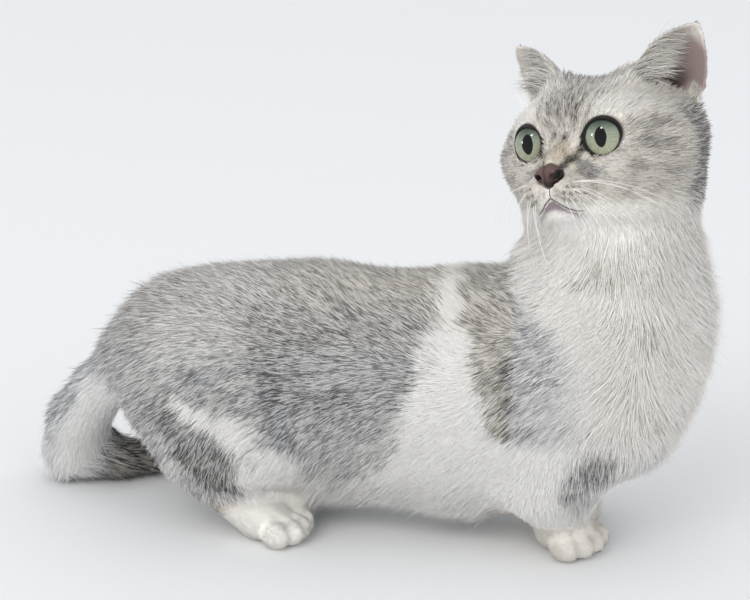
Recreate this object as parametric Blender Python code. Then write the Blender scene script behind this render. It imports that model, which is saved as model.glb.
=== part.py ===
"""A short-legged munchkin cat, standing and looking back over its right shoulder, at life size.

+X runs forward along the body, +Y to the cat's left and +Z up, and the floor is z = 0.
The flesh is one field of soft forms that melt into each other. Each named part is the surface
of that field inside its own region, so neighbours meet face to face across a hairline seam.
Lengths are in millimetres until a mesh is made from them.
"""

import math

import bmesh
import bpy
import numpy as np
from mathutils import Euler, Matrix, Vector

MM = 0.001
SEAM = 0.3

# Driving sizes, with the coat
BACK = 158
BELLY = 10
HALF_WIDTH = 56
RUMP = -160
CHEST = 187
HEAD_CENTRE = (120, -19, 236)
HEAD_TURN, HEAD_LIFT, HEAD_TILT = -117, 7, 14
HEAD_UNDER = -42
EYE_RADIUS = 11.3
EYE_CENTRE = (21.6, 22.3, 0)
EYE_OUTWARD, EYE_UPWARD = 11, 3
EYE_OPENING = (11.8, 11.0)
LID = 1.6
EAR_TIP, EAR_INNER, EAR_OUTER = (-22, 58, 54), (-9, 22, 31), (-25, 47, 6)
EAR_THICK, EAR_CUP, EAR_ARCH = 2.6, 13, 2.5
NOSTRIL, MOUTH_LINE = 1.3, 0.8
WAIST, LOIN = 60, -18
NECK_BASE, NECK_LEAN = (130, -16, 168), (-0.1, 0, 0.995)

MIDDLE = (BACK + BELLY) / 2
HALF_DEEP = (BACK - BELLY) / 2

SIDES = {"left": 1, "right": -1}

# Grain of each surface before it is thinned, and how many triangles it keeps
TRUNK_GRAIN, LIMB_GRAIN, HEAD_GRAIN, NOSE_GRAIN = 4.0, 2.2, 2.2, 0.9
TRUNK_TRIANGLES, LIMB_TRIANGLES, HEAD_TRIANGLES, NOSE_TRIANGLES = 4000, 950, 2900, 260
ROOM_TRIANGLES = 300

ANKLES = {
    "hind_leg_right": ((-72, -42, 23), (0.35, 0, -0.94)),
    "hind_leg_left": ((-76, 43, 23), (0.35, 0, -0.94)),
    "fore_leg_right": ((110, -26, 21), (0, 0, -1)),
    "fore_leg_left": ((104, 22, 21), (0, 0, -1)),
}


# Soft forms and the field that melts them together


class Lump:
    """An ellipsoid of flesh and coat, with its half sizes and a turn in degrees."""

    def __init__(self, centre, half, turn=(0, 0, 0), blend=12):
        self.centre, self.half = np.array(centre, float), np.array(half, float)
        self.turn = np.array(Euler([math.radians(a) for a in turn]).to_matrix())
        self.blend = blend

    def distance(self, points):
        local = (points - self.centre) @ self.turn
        reach = np.linalg.norm(local / self.half, axis=1)
        slope = np.linalg.norm(local / self.half**2, axis=1)
        return reach * (reach - 1) / np.maximum(slope, 1e-6)

    def add_to(self, bm, frame, grow):
        size = Matrix.Diagonal([*(self.half + grow), 1])
        turn = Matrix(self.turn.tolist()).to_4x4()
        place = frame @ Matrix.Translation(self.centre) @ turn @ size
        bmesh.ops.create_icosphere(bm, subdivisions=4, radius=1, matrix=place)


class Bar:
    """A round bar that tapers from one end to the other."""

    def __init__(self, start, end, radii, blend=12):
        self.start, self.end = np.array(start, float), np.array(end, float)
        self.radii, self.blend = radii, blend

    def distance(self, points):
        along = self.end - self.start
        share = np.clip((points - self.start) @ along / (along @ along), 0, 1)
        nearest = self.start + share[:, None] * along
        radius = self.radii[0] + share * (self.radii[1] - self.radii[0])
        return np.linalg.norm(points - nearest, axis=1) - radius

    def add_to(self, bm, frame, grow):
        for end, radius in ((self.start, self.radii[0]), (self.end, self.radii[1])):
            place = frame @ Matrix.Translation(end)
            bmesh.ops.create_icosphere(bm, subdivisions=4, radius=radius + grow, matrix=place)
        along = Vector(self.end - self.start)
        turn = along.to_track_quat("Z", "Y").to_matrix().to_4x4()
        place = frame @ Matrix.Translation((self.start + self.end) / 2) @ turn
        bmesh.ops.create_cone(
            bm, cap_ends=True, segments=32, radius1=self.radii[0] + grow,
            radius2=self.radii[1] + grow, depth=along.length, matrix=place)


def melted(first, second, blend):
    """The union of two distances, with the crease between them filled."""
    near = np.maximum(blend - np.abs(first - second), 0) / blend
    return np.minimum(first, second) - near * near * blend / 4


class Group:
    """Soft forms that belong together, in a frame of their own."""

    def __init__(self, forms, frame=None, blend=14):
        self.forms, self.blend = forms, blend
        self.frame = frame or Matrix.Identity(4)
        self.inverse = np.array(self.frame.inverted())

    def distance(self, points):
        local = points @ self.inverse[:3, :3].T + self.inverse[:3, 3]
        found = self.forms[0].distance(local)
        for form in self.forms[1:]:
            found = melted(found, form.distance(local), form.blend)
        return found

    def add_to(self, bm, grow=0.0):
        for form in self.forms:
            form.add_to(bm, self.frame, grow)


def mirrored(point, side):
    return (point[0], point[1] * side, point[2])


# Trunk


def trunk_forms():
    return [
        Lump((RUMP + 62, 0, BACK - 68), (59, 50, 54)),
        Lump((-34, 0, MIDDLE - 2), (86, HALF_WIDTH - 2, HALF_DEEP - 3), blend=24),
        Lump((56, -2, MIDDLE - 1), (84, HALF_WIDTH, HALF_DEEP - 1), blend=24),
        Lump((114, -8, 93), (59, 54, 60), blend=22),
        Lump((CHEST - 48, -15, 124), (47, 49, 58), (0, 8, 0), blend=20),
        Bar((132, -16, 150), (131, -17, 200), (51, 47.5), blend=18),
    ]


# Head, in its own frame: x to the nose, y to its left, z up, from the middle of the skull


def head_frame():
    turn = Matrix.Rotation(math.radians(HEAD_TURN), 4, "Z")
    lift = Matrix.Rotation(math.radians(-HEAD_LIFT), 4, "Y")
    tilt = Matrix.Rotation(math.radians(HEAD_TILT), 4, "X")
    return Matrix.Translation(HEAD_CENTRE) @ turn @ lift @ tilt


def head_forms():
    forms = [
        Lump((-12, 0, 1), (40, 44, 30.5)),
        Lump((-22, 0, -18), (36, 43, 30), blend=14),
        Lump((13, 0, 9), (15, 20, 14), blend=8),
        Bar((14, 0, 4), (40.5, 0, -14), (12, 6), blend=6),
        Lump((14, 0, -29), (25, 23, 13), blend=8),
        Lump((35, 0, -37), (8.5, 9.5, 6.5), blend=3),
    ]
    for side in SIDES.values():
        forms += [
            Lump(mirrored((-5, 31, -9), side), (28, 27, 23), blend=10),
            Lump(mirrored((8, 25, 4), side), (17, 17, 17), blend=8),
            Lump(mirrored((9, 15, 8), side), (18, 17, 15), blend=8),
            Bar(mirrored((12, 14, -15), side), mirrored((32, 8, -21), side), (11, 8), blend=7),
            Lump(mirrored((39, 7.6, -24.5), side), (10, 11, 9.2), blend=1.6),
            Lump(mirrored(EYE_CENTRE, side), (EYE_RADIUS + LID,) * 3, blend=3),
            Lump(mirrored((-30, 31, 15), side), (11, 11, 10), blend=8),
            Lump(mirrored((-10, 24, 25), side), (10.5, 11, 10.5), blend=13),
            Lump(mirrored((-26, 40, -2), side), (14, 13, 16), blend=8),
        ]
    return forms


# Legs


def paw_forms(place, heading, width):
    """A palm and four toes on the floor, heading that many degrees to the left of +X."""
    turn = Matrix.Rotation(math.radians(heading), 3, "Z")

    def put(x, y, z):
        return tuple(Vector(place) + turn @ Vector((x, y, z)))

    toe = width / 8 + 2.2
    forms = [Lump(put(-5, 0, 10), (17, width * 0.42, 11), (0, 0, heading), blend=6)]
    for row in (-1.5, -0.5, 0.5, 1.5):
        forward = 10.5 - 1.9 * row * row
        forms.append(Lump(put(forward, row * width * 0.25, 7.8), (10.5, toe, 8.8),
                          (0, 0, heading + row * 7), blend=1.2))
    return forms


def hind_leg_forms(side, hip, knee, hock, paw, heading):
    return [
        Lump(mirrored((-95, 31, 82), side), (48, 26, 50), (0, -14, 0)),
        Bar(mirrored(hip, side), mirrored(knee, side), (30, 22), blend=20),
        Bar(mirrored(knee, side), mirrored(hock, side), (21, 15), blend=14),
        Bar(mirrored(hock, side), mirrored((paw[0] - 12, paw[1], 14), side), (15.5, 13.5), blend=8),
        *paw_forms(mirrored(paw, side), heading, 33),
    ]


def fore_leg_forms(side, elbow, wrist, paw, heading):
    return [
        Lump(mirrored((108, 36, 88), side), (36, 21, 44), (0, 16, 0)),
        Bar(mirrored((104, 36, 66), side), mirrored(elbow, side), (26, 23), blend=18),
        Bar(mirrored(elbow, side), mirrored(wrist, side), (22, 16.5), blend=14),
        *paw_forms(mirrored(paw, side), heading, 36),
    ]


# Tail: it hangs behind the rump, bends where it meets the floor and lies forward on it


TAIL_ROOT = ((-139, 1, 97), 18)
TAIL = [
    ((-128, 0, 106), 21), ((-148, 2, 89), 17.5), ((-168, 8, 65), 17.5), ((-184, 15, 42), 19),
    ((-190, 22, 19.8), 21), ((-168, 27, 12.8), 14), ((-153, 36, 10.3), 11.5),
    ((-137, 50, 8.4), 9.5), ((-119, 60, 6.6), 7.5),
]


def tail_forms():
    return [Bar(a, b, (ra, rb), blend=6) for (a, ra), (b, rb) in zip(TAIL, TAIL[1:])]


TRUNK = Group(trunk_forms())
HEAD = Group(head_forms(), head_frame(), blend=16)
LIMBS = {
    "hind_leg_right": Group(hind_leg_forms(
        -1, (-100, 32, 92), (-56, 42, 58), (-101, 41, 45), (-50, 43, 0), -20)),
    "hind_leg_left": Group(hind_leg_forms(
        1, (-100, 32, 92), (-58, 42, 58), (-105, 42, 44), (-58, 44, 0), 8)),
    "fore_leg_right": Group(fore_leg_forms(-1, (104, 35, 46), (108, 27, 24), (113, 25, 0), -30)),
    "fore_leg_left": Group(fore_leg_forms(1, (102, 28, 46), (103, 23, 24), (106, 22, 0), 4)),
    "tail": Group(tail_forms(), blend=10),
}

# The room that each limb takes out of the trunk, a little more than its own forms


def hind_room(side):
    return Group([
        Lump(mirrored((-97, 50, 78), side), (48, 36, 46)),
        Bar(mirrored((-64, 48, 60), side), mirrored((-62, 48, 30), side), (32, 30), blend=20),
        Bar(mirrored((-108, 46, 42), side), mirrored((-62, 47, 16), side), (25, 24), blend=20),
        Bar(mirrored((-60, 47, 10), side), mirrored((-30, 49, 8), side), (28, 28), blend=20),
    ])


def fore_room(side):
    return Group([
        Lump(mirrored((106, 52, 86), side), (33, 34, 42)),
        Bar(mirrored((104, 36, 60), side), mirrored((106, 27, 8), side), (29, 29), blend=20),
        Bar(mirrored((106, 26, 8), side), mirrored((128, 28, 8), side), (30, 30), blend=20),
    ])


ROOMS = {
    "hind_leg_right": hind_room(-1),
    "hind_leg_left": hind_room(1),
    "fore_leg_right": fore_room(-1),
    "fore_leg_left": fore_room(1),
    "tail": Group([Bar(a, b, (ra + 3, rb + 3), blend=20)
                   for (a, ra), (b, rb) in zip([TAIL_ROOT, *TAIL[1:]], TAIL[1:])]),
}


def flesh(points, limbs=tuple(LIMBS)):
    """Distance to the whole cat. Limbs melt into the trunk and not into each other."""
    trunk = TRUNK.distance(points)
    found = melted(trunk, HEAD.distance(points), HEAD.blend)
    for name in limbs:
        found = np.minimum(found, melted(trunk, LIMBS[name].distance(points), LIMBS[name].blend))
    return found


# Meshes


def new_object(name, mesh):
    obj = bpy.data.objects.new(name, mesh)
    bpy.context.scene.collection.objects.link(obj)
    return obj


def apply_modifiers(obj):
    graph = bpy.context.evaluated_depsgraph_get()
    mesh = bpy.data.meshes.new_from_object(obj.evaluated_get(graph))
    obj.modifiers.clear()
    obj.data = mesh


def remeshed(name, groups, voxel, grow=0.0, smooth=4):
    """One closed skin round the forms, in metres."""
    bm = bmesh.new()
    for group in groups:
        group.add_to(bm, grow)
    bmesh.ops.scale(bm, vec=(MM, MM, MM), verts=bm.verts)
    mesh = bpy.data.meshes.new(name)
    bm.to_mesh(mesh)
    bm.free()
    obj = new_object(name, mesh)
    remesh = obj.modifiers.new("skin", "REMESH")
    remesh.mode = "VOXEL"
    remesh.voxel_size = voxel * MM
    relax = obj.modifiers.new("relax", "SMOOTH")
    relax.iterations = smooth
    apply_modifiers(obj)
    return obj


def settle(obj, limbs=tuple(LIMBS), room=None, rounds=6, step=3.0):
    """Moves the vertices, or those inside a room, onto the field's surface."""
    points = np.empty(len(obj.data.vertices) * 3)
    obj.data.vertices.foreach_get("co", points)
    points = points.reshape(-1, 3) / MM
    inside = np.ones(len(points), bool)
    if room:
        inside = ((points > room[0]) & (points < room[1])).all(axis=1)
    moving = points[inside]
    probe, least_steep = 0.25, 0.2
    for _ in range(rounds):
        here = flesh(moving, limbs)
        slope = np.stack([flesh(moving + probe * axis, limbs) - here for axis in np.eye(3)], 1) / probe
        steep = np.maximum((slope**2).sum(axis=1), least_steep)
        move = -slope * (here / steep)[:, None]
        length = np.linalg.norm(move, axis=1, keepdims=True)
        moving += move * np.minimum(1, step / np.maximum(length, 1e-9))
    points[inside] = moving
    obj.data.vertices.foreach_set("co", (points * MM).astype(np.float32).ravel())
    obj.data.update()


def thin_out(obj, triangles):
    """Fewer triangles, kept where the surface bends."""
    obj.data.calc_loop_triangles()
    decimate = obj.modifiers.new("thin", "DECIMATE")
    decimate.ratio = min(1.0, triangles / len(obj.data.loop_triangles))
    decimate.use_collapse_triangulate = True
    apply_modifiers(obj)


def copy_of(obj, name):
    return new_object(name, obj.data.copy())


def swollen(obj, by):
    """A copy whose surface lies that much further out."""
    copy = copy_of(obj, obj.name + "_swollen")
    displace = copy.modifiers.new("swell", "DISPLACE")
    displace.strength = by * MM
    displace.mid_level = 0
    apply_modifiers(copy)
    return copy


def boolean(obj, cutter, operation):
    cut = obj.modifiers.new("cut", "BOOLEAN")
    cut.operation = operation
    cut.solver = "EXACT"
    cut.object = cutter
    apply_modifiers(obj)


def discard(*objects):
    for obj in objects:
        bpy.data.objects.remove(obj)


def cut_off(obj, point, normal):
    """Removes what lies past a plane and closes the cut."""
    bm = bmesh.new()
    bm.from_mesh(obj.data)
    bmesh.ops.bisect_plane(
        bm, geom=[*bm.verts, *bm.edges, *bm.faces], dist=1e-7, plane_co=Vector(point) * MM,
        plane_no=Vector(normal), clear_outer=True)
    rim = [edge for edge in bm.edges if edge.is_boundary]
    bmesh.ops.triangle_fill(bm, edges=rim, use_beauty=True, normal=Vector(normal))
    bmesh.ops.recalc_face_normals(bm, faces=bm.faces)
    bm.to_mesh(obj.data)
    bm.free()


def shifted(point, normal, by):
    return tuple(Vector(point) + Vector(normal).normalized() * by)


def split(obj, name, point, normal):
    """Parts an object at a plane. It keeps the near side, and a new object takes the far side."""
    far = copy_of(obj, name)
    cut_off(obj, shifted(point, normal, -SEAM / 2), normal)
    cut_off(far, shifted(point, normal, SEAM / 2), tuple(-Vector(normal)))
    return far


def keep_largest(obj):
    """Drops every scrap but the body with the most volume."""
    bm = bmesh.new()
    bm.from_mesh(obj.data)
    left, bodies = set(bm.verts), []
    while left:
        queue = [left.pop()]
        body = set(queue)
        while queue:
            vert = queue.pop()
            for edge in vert.link_edges:
                other = edge.other_vert(vert)
                if other not in body:
                    body.add(other)
                    queue.append(other)
        left -= body
        bodies.append(body)

    def volume(body):
        faces = {f for v in body for f in v.link_faces}
        corners = [[v.co for v in f.verts] for f in faces]
        return sum(a.dot(b.cross(c)) for f in corners for a, b, c in
                   ((f[0], f[i], f[i + 1]) for i in range(1, len(f) - 1)))

    bodies.sort(key=volume)
    bmesh.ops.delete(bm, geom=[v for body in bodies[:-1] for v in body], context="VERTS")
    bmesh.ops.remove_doubles(bm, verts=bm.verts, dist=1e-6)
    bmesh.ops.triangulate(bm, faces=bm.faces)
    bm.to_mesh(obj.data)
    bm.free()


# Parts


def whole_body():
    """Trunk, neck and the roots of all that grows from it, at the coarse grain of the trunk."""
    body = remeshed("torso", [TRUNK, HEAD, *LIMBS.values()], TRUNK_GRAIN)
    settle(body)
    thin_out(body, TRUNK_TRIANGLES)
    return body


def limb_cutter(name, side):
    """The room of a limb as a closed tool, kept to its own side of the cat."""
    cutter = remeshed(name + "_room", [ROOMS[name]], TRUNK_GRAIN, smooth=12)
    thin_out(cutter, ROOM_TRIANGLES)
    if side:
        cut_off(cutter, (0, side * 1.5, 0), (0, -side, 0))
    return cutter


def limb(name, cutter):
    """The limb's own surface at a fine grain, cut from the trunk by the cutter."""
    obj = remeshed(name, [TRUNK, LIMBS[name]], LIMB_GRAIN)
    margin = 4
    low = [min(v.co[i] for v in cutter.data.vertices) / MM - margin for i in range(3)]
    high = [max(v.co[i] for v in cutter.data.vertices) / MM + margin for i in range(3)]
    settle(obj, (name,), (low, high))
    for i, axis in enumerate(((1, 0, 0), (0, 1, 0), (0, 0, 1))):
        cut_off(obj, [n * low[i] for n in axis], [-n for n in axis])
        cut_off(obj, [n * high[i] for n in axis], axis)
    thin_out(obj, LIMB_TRIANGLES)
    cut_off(obj, (0, 0, 0), (0, 0, -1))
    boolean(obj, cutter, "INTERSECT")
    keep_largest(obj)
    return obj


# Head details


def eye_frame(side):
    """The eye's middle, with x along its gaze."""
    turn = Matrix.Rotation(math.radians(EYE_OUTWARD * side), 4, "Z")
    lift = Matrix.Rotation(math.radians(-EYE_UPWARD), 4, "Y")
    return HEAD.frame @ Matrix.Translation(mirrored(EYE_CENTRE, side)) @ turn @ lift


def ball(name, frame, radius):
    """A sphere with its poles along the frame's x."""
    segments, rings = 18, 11
    bm = bmesh.new()
    pole = Matrix.Rotation(math.radians(90), 4, "Y")
    place = Matrix.Diagonal([MM, MM, MM, 1]) @ frame @ pole
    bmesh.ops.create_uvsphere(bm, u_segments=segments, v_segments=rings, radius=radius, matrix=place)
    bmesh.ops.recalc_face_normals(bm, faces=bm.faces)
    mesh = bpy.data.meshes.new(name)
    bm.to_mesh(mesh)
    bm.free()
    return new_object(name, mesh)


def lid_opening(frame):
    """A flared plug that opens the lids, a little wider than it is high."""
    bm = bmesh.new()
    wide, high = EYE_OPENING
    deep = 9.0
    turn = Matrix.Rotation(math.radians(90), 4, "Y")
    place = (Matrix.Diagonal([MM, MM, MM, 1]) @ frame @ Matrix.Translation((deep, 0, 0)) @ turn
             @ Matrix.Diagonal([high / 10, wide / 10, 1, 1]))
    bmesh.ops.create_cone(bm, cap_ends=True, segments=28, radius1=5, radius2=15, depth=2 * deep,
                          matrix=place)
    bmesh.ops.recalc_face_normals(bm, faces=bm.faces)
    mesh = bpy.data.meshes.new("lid_opening")
    bm.to_mesh(mesh)
    bm.free()
    return new_object("lid_opening", mesh)


def in_head(point):
    return HEAD.frame @ Vector(point)


def head_up():
    return HEAD.frame.to_3x3() @ Vector((0, 0, 1))


def head():
    obj = remeshed("head", [HEAD, TRUNK], HEAD_GRAIN)
    under = in_head((0, 0, HEAD_UNDER))
    far, below, spare = 1000, 60, 14
    settle(obj, (), ([-far, -far, under.z - below], [far, far, far]))
    under = tuple(under)
    down = tuple(-head_up())
    cut_off(obj, shifted(under, down, spare), down)
    thin_out(obj, HEAD_TRIANGLES)
    cut_off(obj, shifted(under, down, -SEAM / 2), down)
    for side in SIDES.values():
        frame = eye_frame(side)
        for tool in (lid_opening(frame), ball("socket", frame, EYE_RADIUS + SEAM)):
            boolean(obj, tool, "DIFFERENCE")
            discard(tool)
    keep_largest(obj)
    return obj


# Ears


def ear(name, side, skull):
    """A cupped, pointed shell: rows run from the root to the tip and columns across the opening."""
    tip, inner, outer = (Vector(mirrored(p, side)) for p in (EAR_TIP, EAR_INNER, EAR_OUTER))
    root = (inner + outer) / 2
    rise = tip - root
    across = outer - inner
    back = across.cross(rise).normalized() * -side
    rows, columns = 11, 10
    bm = bmesh.new()
    grid = []
    for i in range(rows):
        s = -0.22 + 1.22 * i / (rows - 1)
        width = max(1 - s, 0) ** 0.8 * (1 + 0.55 * max(s, 0)) if s > 0 else 1 - 0.5 * s
        width = max(width, 0.05)
        line = []
        for j in range(columns):
            t = -1 + 2 * j / (columns - 1)
            edge = across * (0.5 * t * width + 0.06 * math.sin(math.pi * max(s, 0)) * t)
            cup = EAR_CUP * (1 - t * t) * min(1, (1.02 - s) * 1.3)
            arch = EAR_ARCH * math.sin(math.pi * max(s, 0))
            line.append(bm.verts.new(root + rise * s + edge + back * (cup + arch - 3)))
        grid.append(line)
    for i in range(rows - 1):
        for j in range(columns - 1):
            bm.faces.new((grid[i][j], grid[i][j + 1], grid[i + 1][j + 1], grid[i + 1][j]))
    bmesh.ops.recalc_face_normals(bm, faces=bm.faces)
    bmesh.ops.transform(bm, matrix=Matrix.Diagonal([MM, MM, MM, 1]) @ HEAD.frame, verts=bm.verts)
    mesh = bpy.data.meshes.new(name)
    bm.to_mesh(mesh)
    bm.free()
    obj = new_object(name, mesh)
    thick = obj.modifiers.new("thick", "SOLIDIFY")
    thick.thickness = EAR_THICK * MM
    thick.offset = 0
    rim = obj.modifiers.new("rim", "BEVEL")
    rim.width = EAR_THICK * 0.3 * MM
    rim.segments = 1
    rim.limit_method = "ANGLE"
    apply_modifiers(obj)
    boolean(obj, skull, "DIFFERENCE")
    keep_largest(obj)
    return obj


# Nose and mouth


def nose_forms():
    forms = [Lump((45.5, 0, -14.6), (4.6, 6.6, 4)), Lump((45.5, 0, -19), (4.2, 3.2, 3.8), blend=3)]
    for side in SIDES.values():
        forms.append(Lump(mirrored((45, 5, -16.2), side), (4.2, 3.3, 3.5), blend=2))
    return forms


def groove(name, points, radius):
    """A thin tube through points of the head's own frame, to cut a line into the face."""
    curve = bpy.data.curves.new(name, "CURVE")
    curve.dimensions = "3D"
    spline = curve.splines.new("POLY")
    spline.points.add(len(points) - 1)
    for at, point in zip(spline.points, points):
        at.co = (*(in_head(point) * MM), 1)
    curve.bevel_depth = radius * MM
    curve.bevel_resolution = 0
    curve.use_fill_caps = True
    source = bpy.data.objects.new(name, curve)
    bpy.context.scene.collection.objects.link(source)
    graph = bpy.context.evaluated_depsgraph_get()
    mesh = bpy.data.meshes.new_from_object(source.evaluated_get(graph))
    discard(source)
    return new_object(name, mesh)


def on_face(y, z):
    """The point of the face that lies straight ahead at that place of the head's frame."""
    reach = np.arange(0, 60, 0.1)
    line = np.array([in_head((x, y, z)) for x in reach])
    inside = flesh(line, ()) < 0
    return (reach[inside][-1], y, z)


def nose(skull):
    """The leather, set into the face, with its two nostrils."""
    obj = remeshed("nose", [Group(nose_forms(), HEAD.frame)], NOSE_GRAIN, smooth=6)
    thin_out(obj, NOSE_TRIANGLES)
    for side in SIDES.values():
        path = [mirrored(p, side) for p in ((51, 3.4, -17), (47.5, 3.8, -17), (46.5, 6.2, -16))]
        hole = groove("nostril", path, NOSTRIL)
        boolean(obj, hole, "DIFFERENCE")
        discard(hole)
    room = remeshed("nose_room", [Group(nose_forms(), HEAD.frame)], NOSE_GRAIN, smooth=6, grow=SEAM)
    thin_out(room, ROOM_TRIANGLES)
    boolean(skull, room, "DIFFERENCE")
    discard(room)
    keep_largest(obj)
    return obj


def cut_mouth(skull):
    """The line under the nose, and the mouth's line to both corners."""
    philtrum = [on_face(0, z) for z in (-20, -23, -26, -28.5)]
    lips = [on_face(y, z) for y, z in
            ((-16, -37), (-12, -36.5), (-8, -34.5), (-4, -31.2), (0, -28.5),
             (4, -31.2), (8, -34.5), (12, -36.5), (16, -37))]
    for name, path in (("philtrum", philtrum), ("lips", lips)):
        line = groove(name, path, MOUTH_LINE)
        boolean(skull, line, "DIFFERENCE")
        discard(line)


def clear_scene():
    for obj in list(bpy.data.objects):
        bpy.data.objects.remove(obj)


def centre_on_floor(objects):
    """Puts the middle of the whole cat's footprint at x = y = 0."""
    points = [v.co for obj in objects for v in obj.data.vertices]
    low = [min(p[i] for p in points) for i in range(2)]
    high = [max(p[i] for p in points) for i in range(2)]
    shift = Matrix.Translation((-(low[0] + high[0]) / 2, -(low[1] + high[1]) / 2, 0))
    for obj in objects:
        obj.data.transform(shift)


def finish(obj, name, look):
    """Its name, its own material and soft shading."""
    obj.name = obj.data.name = name
    colour, roughness = look
    material = bpy.data.materials.new(name + "_material")
    material.use_nodes = True
    shader = material.node_tree.nodes["Principled BSDF"]
    shader.inputs["Base Color"].default_value = (*colour, 1)
    shader.inputs["Roughness"].default_value = roughness
    shader.inputs["Metallic"].default_value = 0
    obj.data.materials.clear()
    obj.data.materials.append(material)
    for face in obj.data.polygons:
        face.use_smooth = True


GREY = (0.33, 0.33, 0.35), 0.9
WHITE = (0.78, 0.77, 0.75), 0.9
DARK = (0.16, 0.15, 0.15), 0.9
IRIS = (0.32, 0.42, 0.27), 0.15
LEATHER = (0.25, 0.13, 0.12), 0.5
PINK = (0.45, 0.33, 0.33), 0.8


def build_trunk():
    """The trunk with room for the limbs, the limbs, and the parts that each is cut into."""
    body = whole_body()
    parts = []
    for name in LIMBS:
        cutter = limb_cutter(name, SIDES.get(name.split("_")[-1], 0))
        made = limb(name, cutter)
        parts += split_limb(made, name)
        room = swollen(cutter, SEAM)
        boolean(body, room, "DIFFERENCE")
        discard(cutter, room)
    under = tuple(in_head((0, 0, HEAD_UNDER)))
    cut_off(body, shifted(under, head_up(), -SEAM / 2), tuple(head_up()))
    keep_largest(body)
    barrel = split(body, "barrel", (LOIN, 0, 0), (1, 0, 0))
    chest = split(barrel, "chest", (WAIST, 0, 0), (1, 0, 0))
    neck = split(chest, "neck", NECK_BASE, NECK_LEAN)
    parts += [(body, "hindquarters", GREY), (barrel, "barrel", GREY), (chest, "chest", WHITE),
              (neck, "neck", WHITE)]
    return parts


def split_limb(obj, name):
    """A leg parts from its paw, and the tail into the length that hangs, its bend and its tip."""
    if name == "tail":
        middle = split(obj, "tail_bend", (-184, 15, 42), (-0.35, 0.22, -0.9))
        tip = split(middle, "tail_tip", (-157, 33, 10), (0.8, 0.6, 0))
        return [(obj, "tail_base", GREY), (middle, "tail_bend", GREY), (tip, "tail_tip", DARK)]
    point, normal = ANKLES[name]
    paw = split(obj, name.replace("leg", "paw"), point, normal)
    return [(obj, name, GREY), (paw, name.replace("leg", "paw"), WHITE)]


def build_head():
    """The skull with its lids, mouth and nose, the ears on it and the eyes in it."""
    skull = head()
    cut_mouth(skull)
    parts = [(skull, "head", GREY), (nose(skull), "nose", LEATHER)]
    room = swollen(skull, SEAM)
    for name, side in SIDES.items():
        parts.append((ear("ear_" + name, side, room), "ear_" + name, PINK))
        eye = ball("eye_" + name, eye_frame(side), EYE_RADIUS)
        parts.append((eye, "eye_" + name, IRIS))
    discard(room)
    return parts


def main():
    clear_scene()
    parts = build_trunk() + build_head()
    for obj, name, look in parts:
        keep_largest(obj)
        finish(obj, name, look)
    centre_on_floor([obj for obj, name, look in parts])

main()
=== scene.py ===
import math

import bmesh
import bpy
import numpy as np
from mathutils import Matrix, Vector
from mathutils.bvhtree import BVHTree
from mathutils.kdtree import KDTree


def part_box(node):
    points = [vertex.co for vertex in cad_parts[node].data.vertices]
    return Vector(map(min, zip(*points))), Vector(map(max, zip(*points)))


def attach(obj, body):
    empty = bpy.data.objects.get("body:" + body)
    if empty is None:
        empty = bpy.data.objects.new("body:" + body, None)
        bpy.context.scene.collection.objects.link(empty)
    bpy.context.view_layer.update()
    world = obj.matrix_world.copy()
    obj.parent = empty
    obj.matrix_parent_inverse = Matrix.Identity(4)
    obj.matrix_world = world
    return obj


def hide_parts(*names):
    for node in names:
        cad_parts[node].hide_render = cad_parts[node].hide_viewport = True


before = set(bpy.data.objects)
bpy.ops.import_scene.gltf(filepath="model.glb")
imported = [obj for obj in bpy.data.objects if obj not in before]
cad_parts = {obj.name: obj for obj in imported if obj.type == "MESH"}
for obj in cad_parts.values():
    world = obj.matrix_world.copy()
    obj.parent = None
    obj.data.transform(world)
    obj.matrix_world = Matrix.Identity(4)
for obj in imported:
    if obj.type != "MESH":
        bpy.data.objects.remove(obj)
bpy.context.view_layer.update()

# Camera. The photograph looks down a little from the cat's right side, slightly from behind its
# shoulder, with a long lens. Two frames of the cat place all that follows, in millimetres: TRUNK has
# x to the chest and its middle on the floor under the waist, HEAD has x to the nose, from its middle.

MM = 0.001
EYE_FORWARD = 21.6
HEAD_TURN, HEAD_LIFT, HEAD_TILT = -117, 7, 14
HEAD_OVER_TRUNK = Vector((120, -19, 236))


def middle_of(node):
    """The middle of a solid's box."""
    low, high = (Vector(corner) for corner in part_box(node))
    return (low + high) / 2


def turned(angle, axis):
    """A turn by an angle in degrees."""
    return Matrix.Rotation(math.radians(angle), 4, axis)


def linked(name, data):
    """A new object in the scene that holds the data."""
    obj = bpy.data.objects.new(name, data)
    bpy.context.scene.collection.objects.link(obj)
    return obj


between_eyes = (middle_of("eye_left") + middle_of("eye_right")) / 2
HEAD = (Matrix.Translation(between_eyes) @ turned(HEAD_TURN, "Z") @ turned(-HEAD_LIFT, "Y")
        @ turned(HEAD_TILT, "X") @ Matrix.Translation(Vector((-EYE_FORWARD, 0, 0)) * MM))
TRUNK = Matrix.Translation(HEAD.translation - HEAD_OVER_TRUNK * MM)
TRUNK.translation.z = 0

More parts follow.
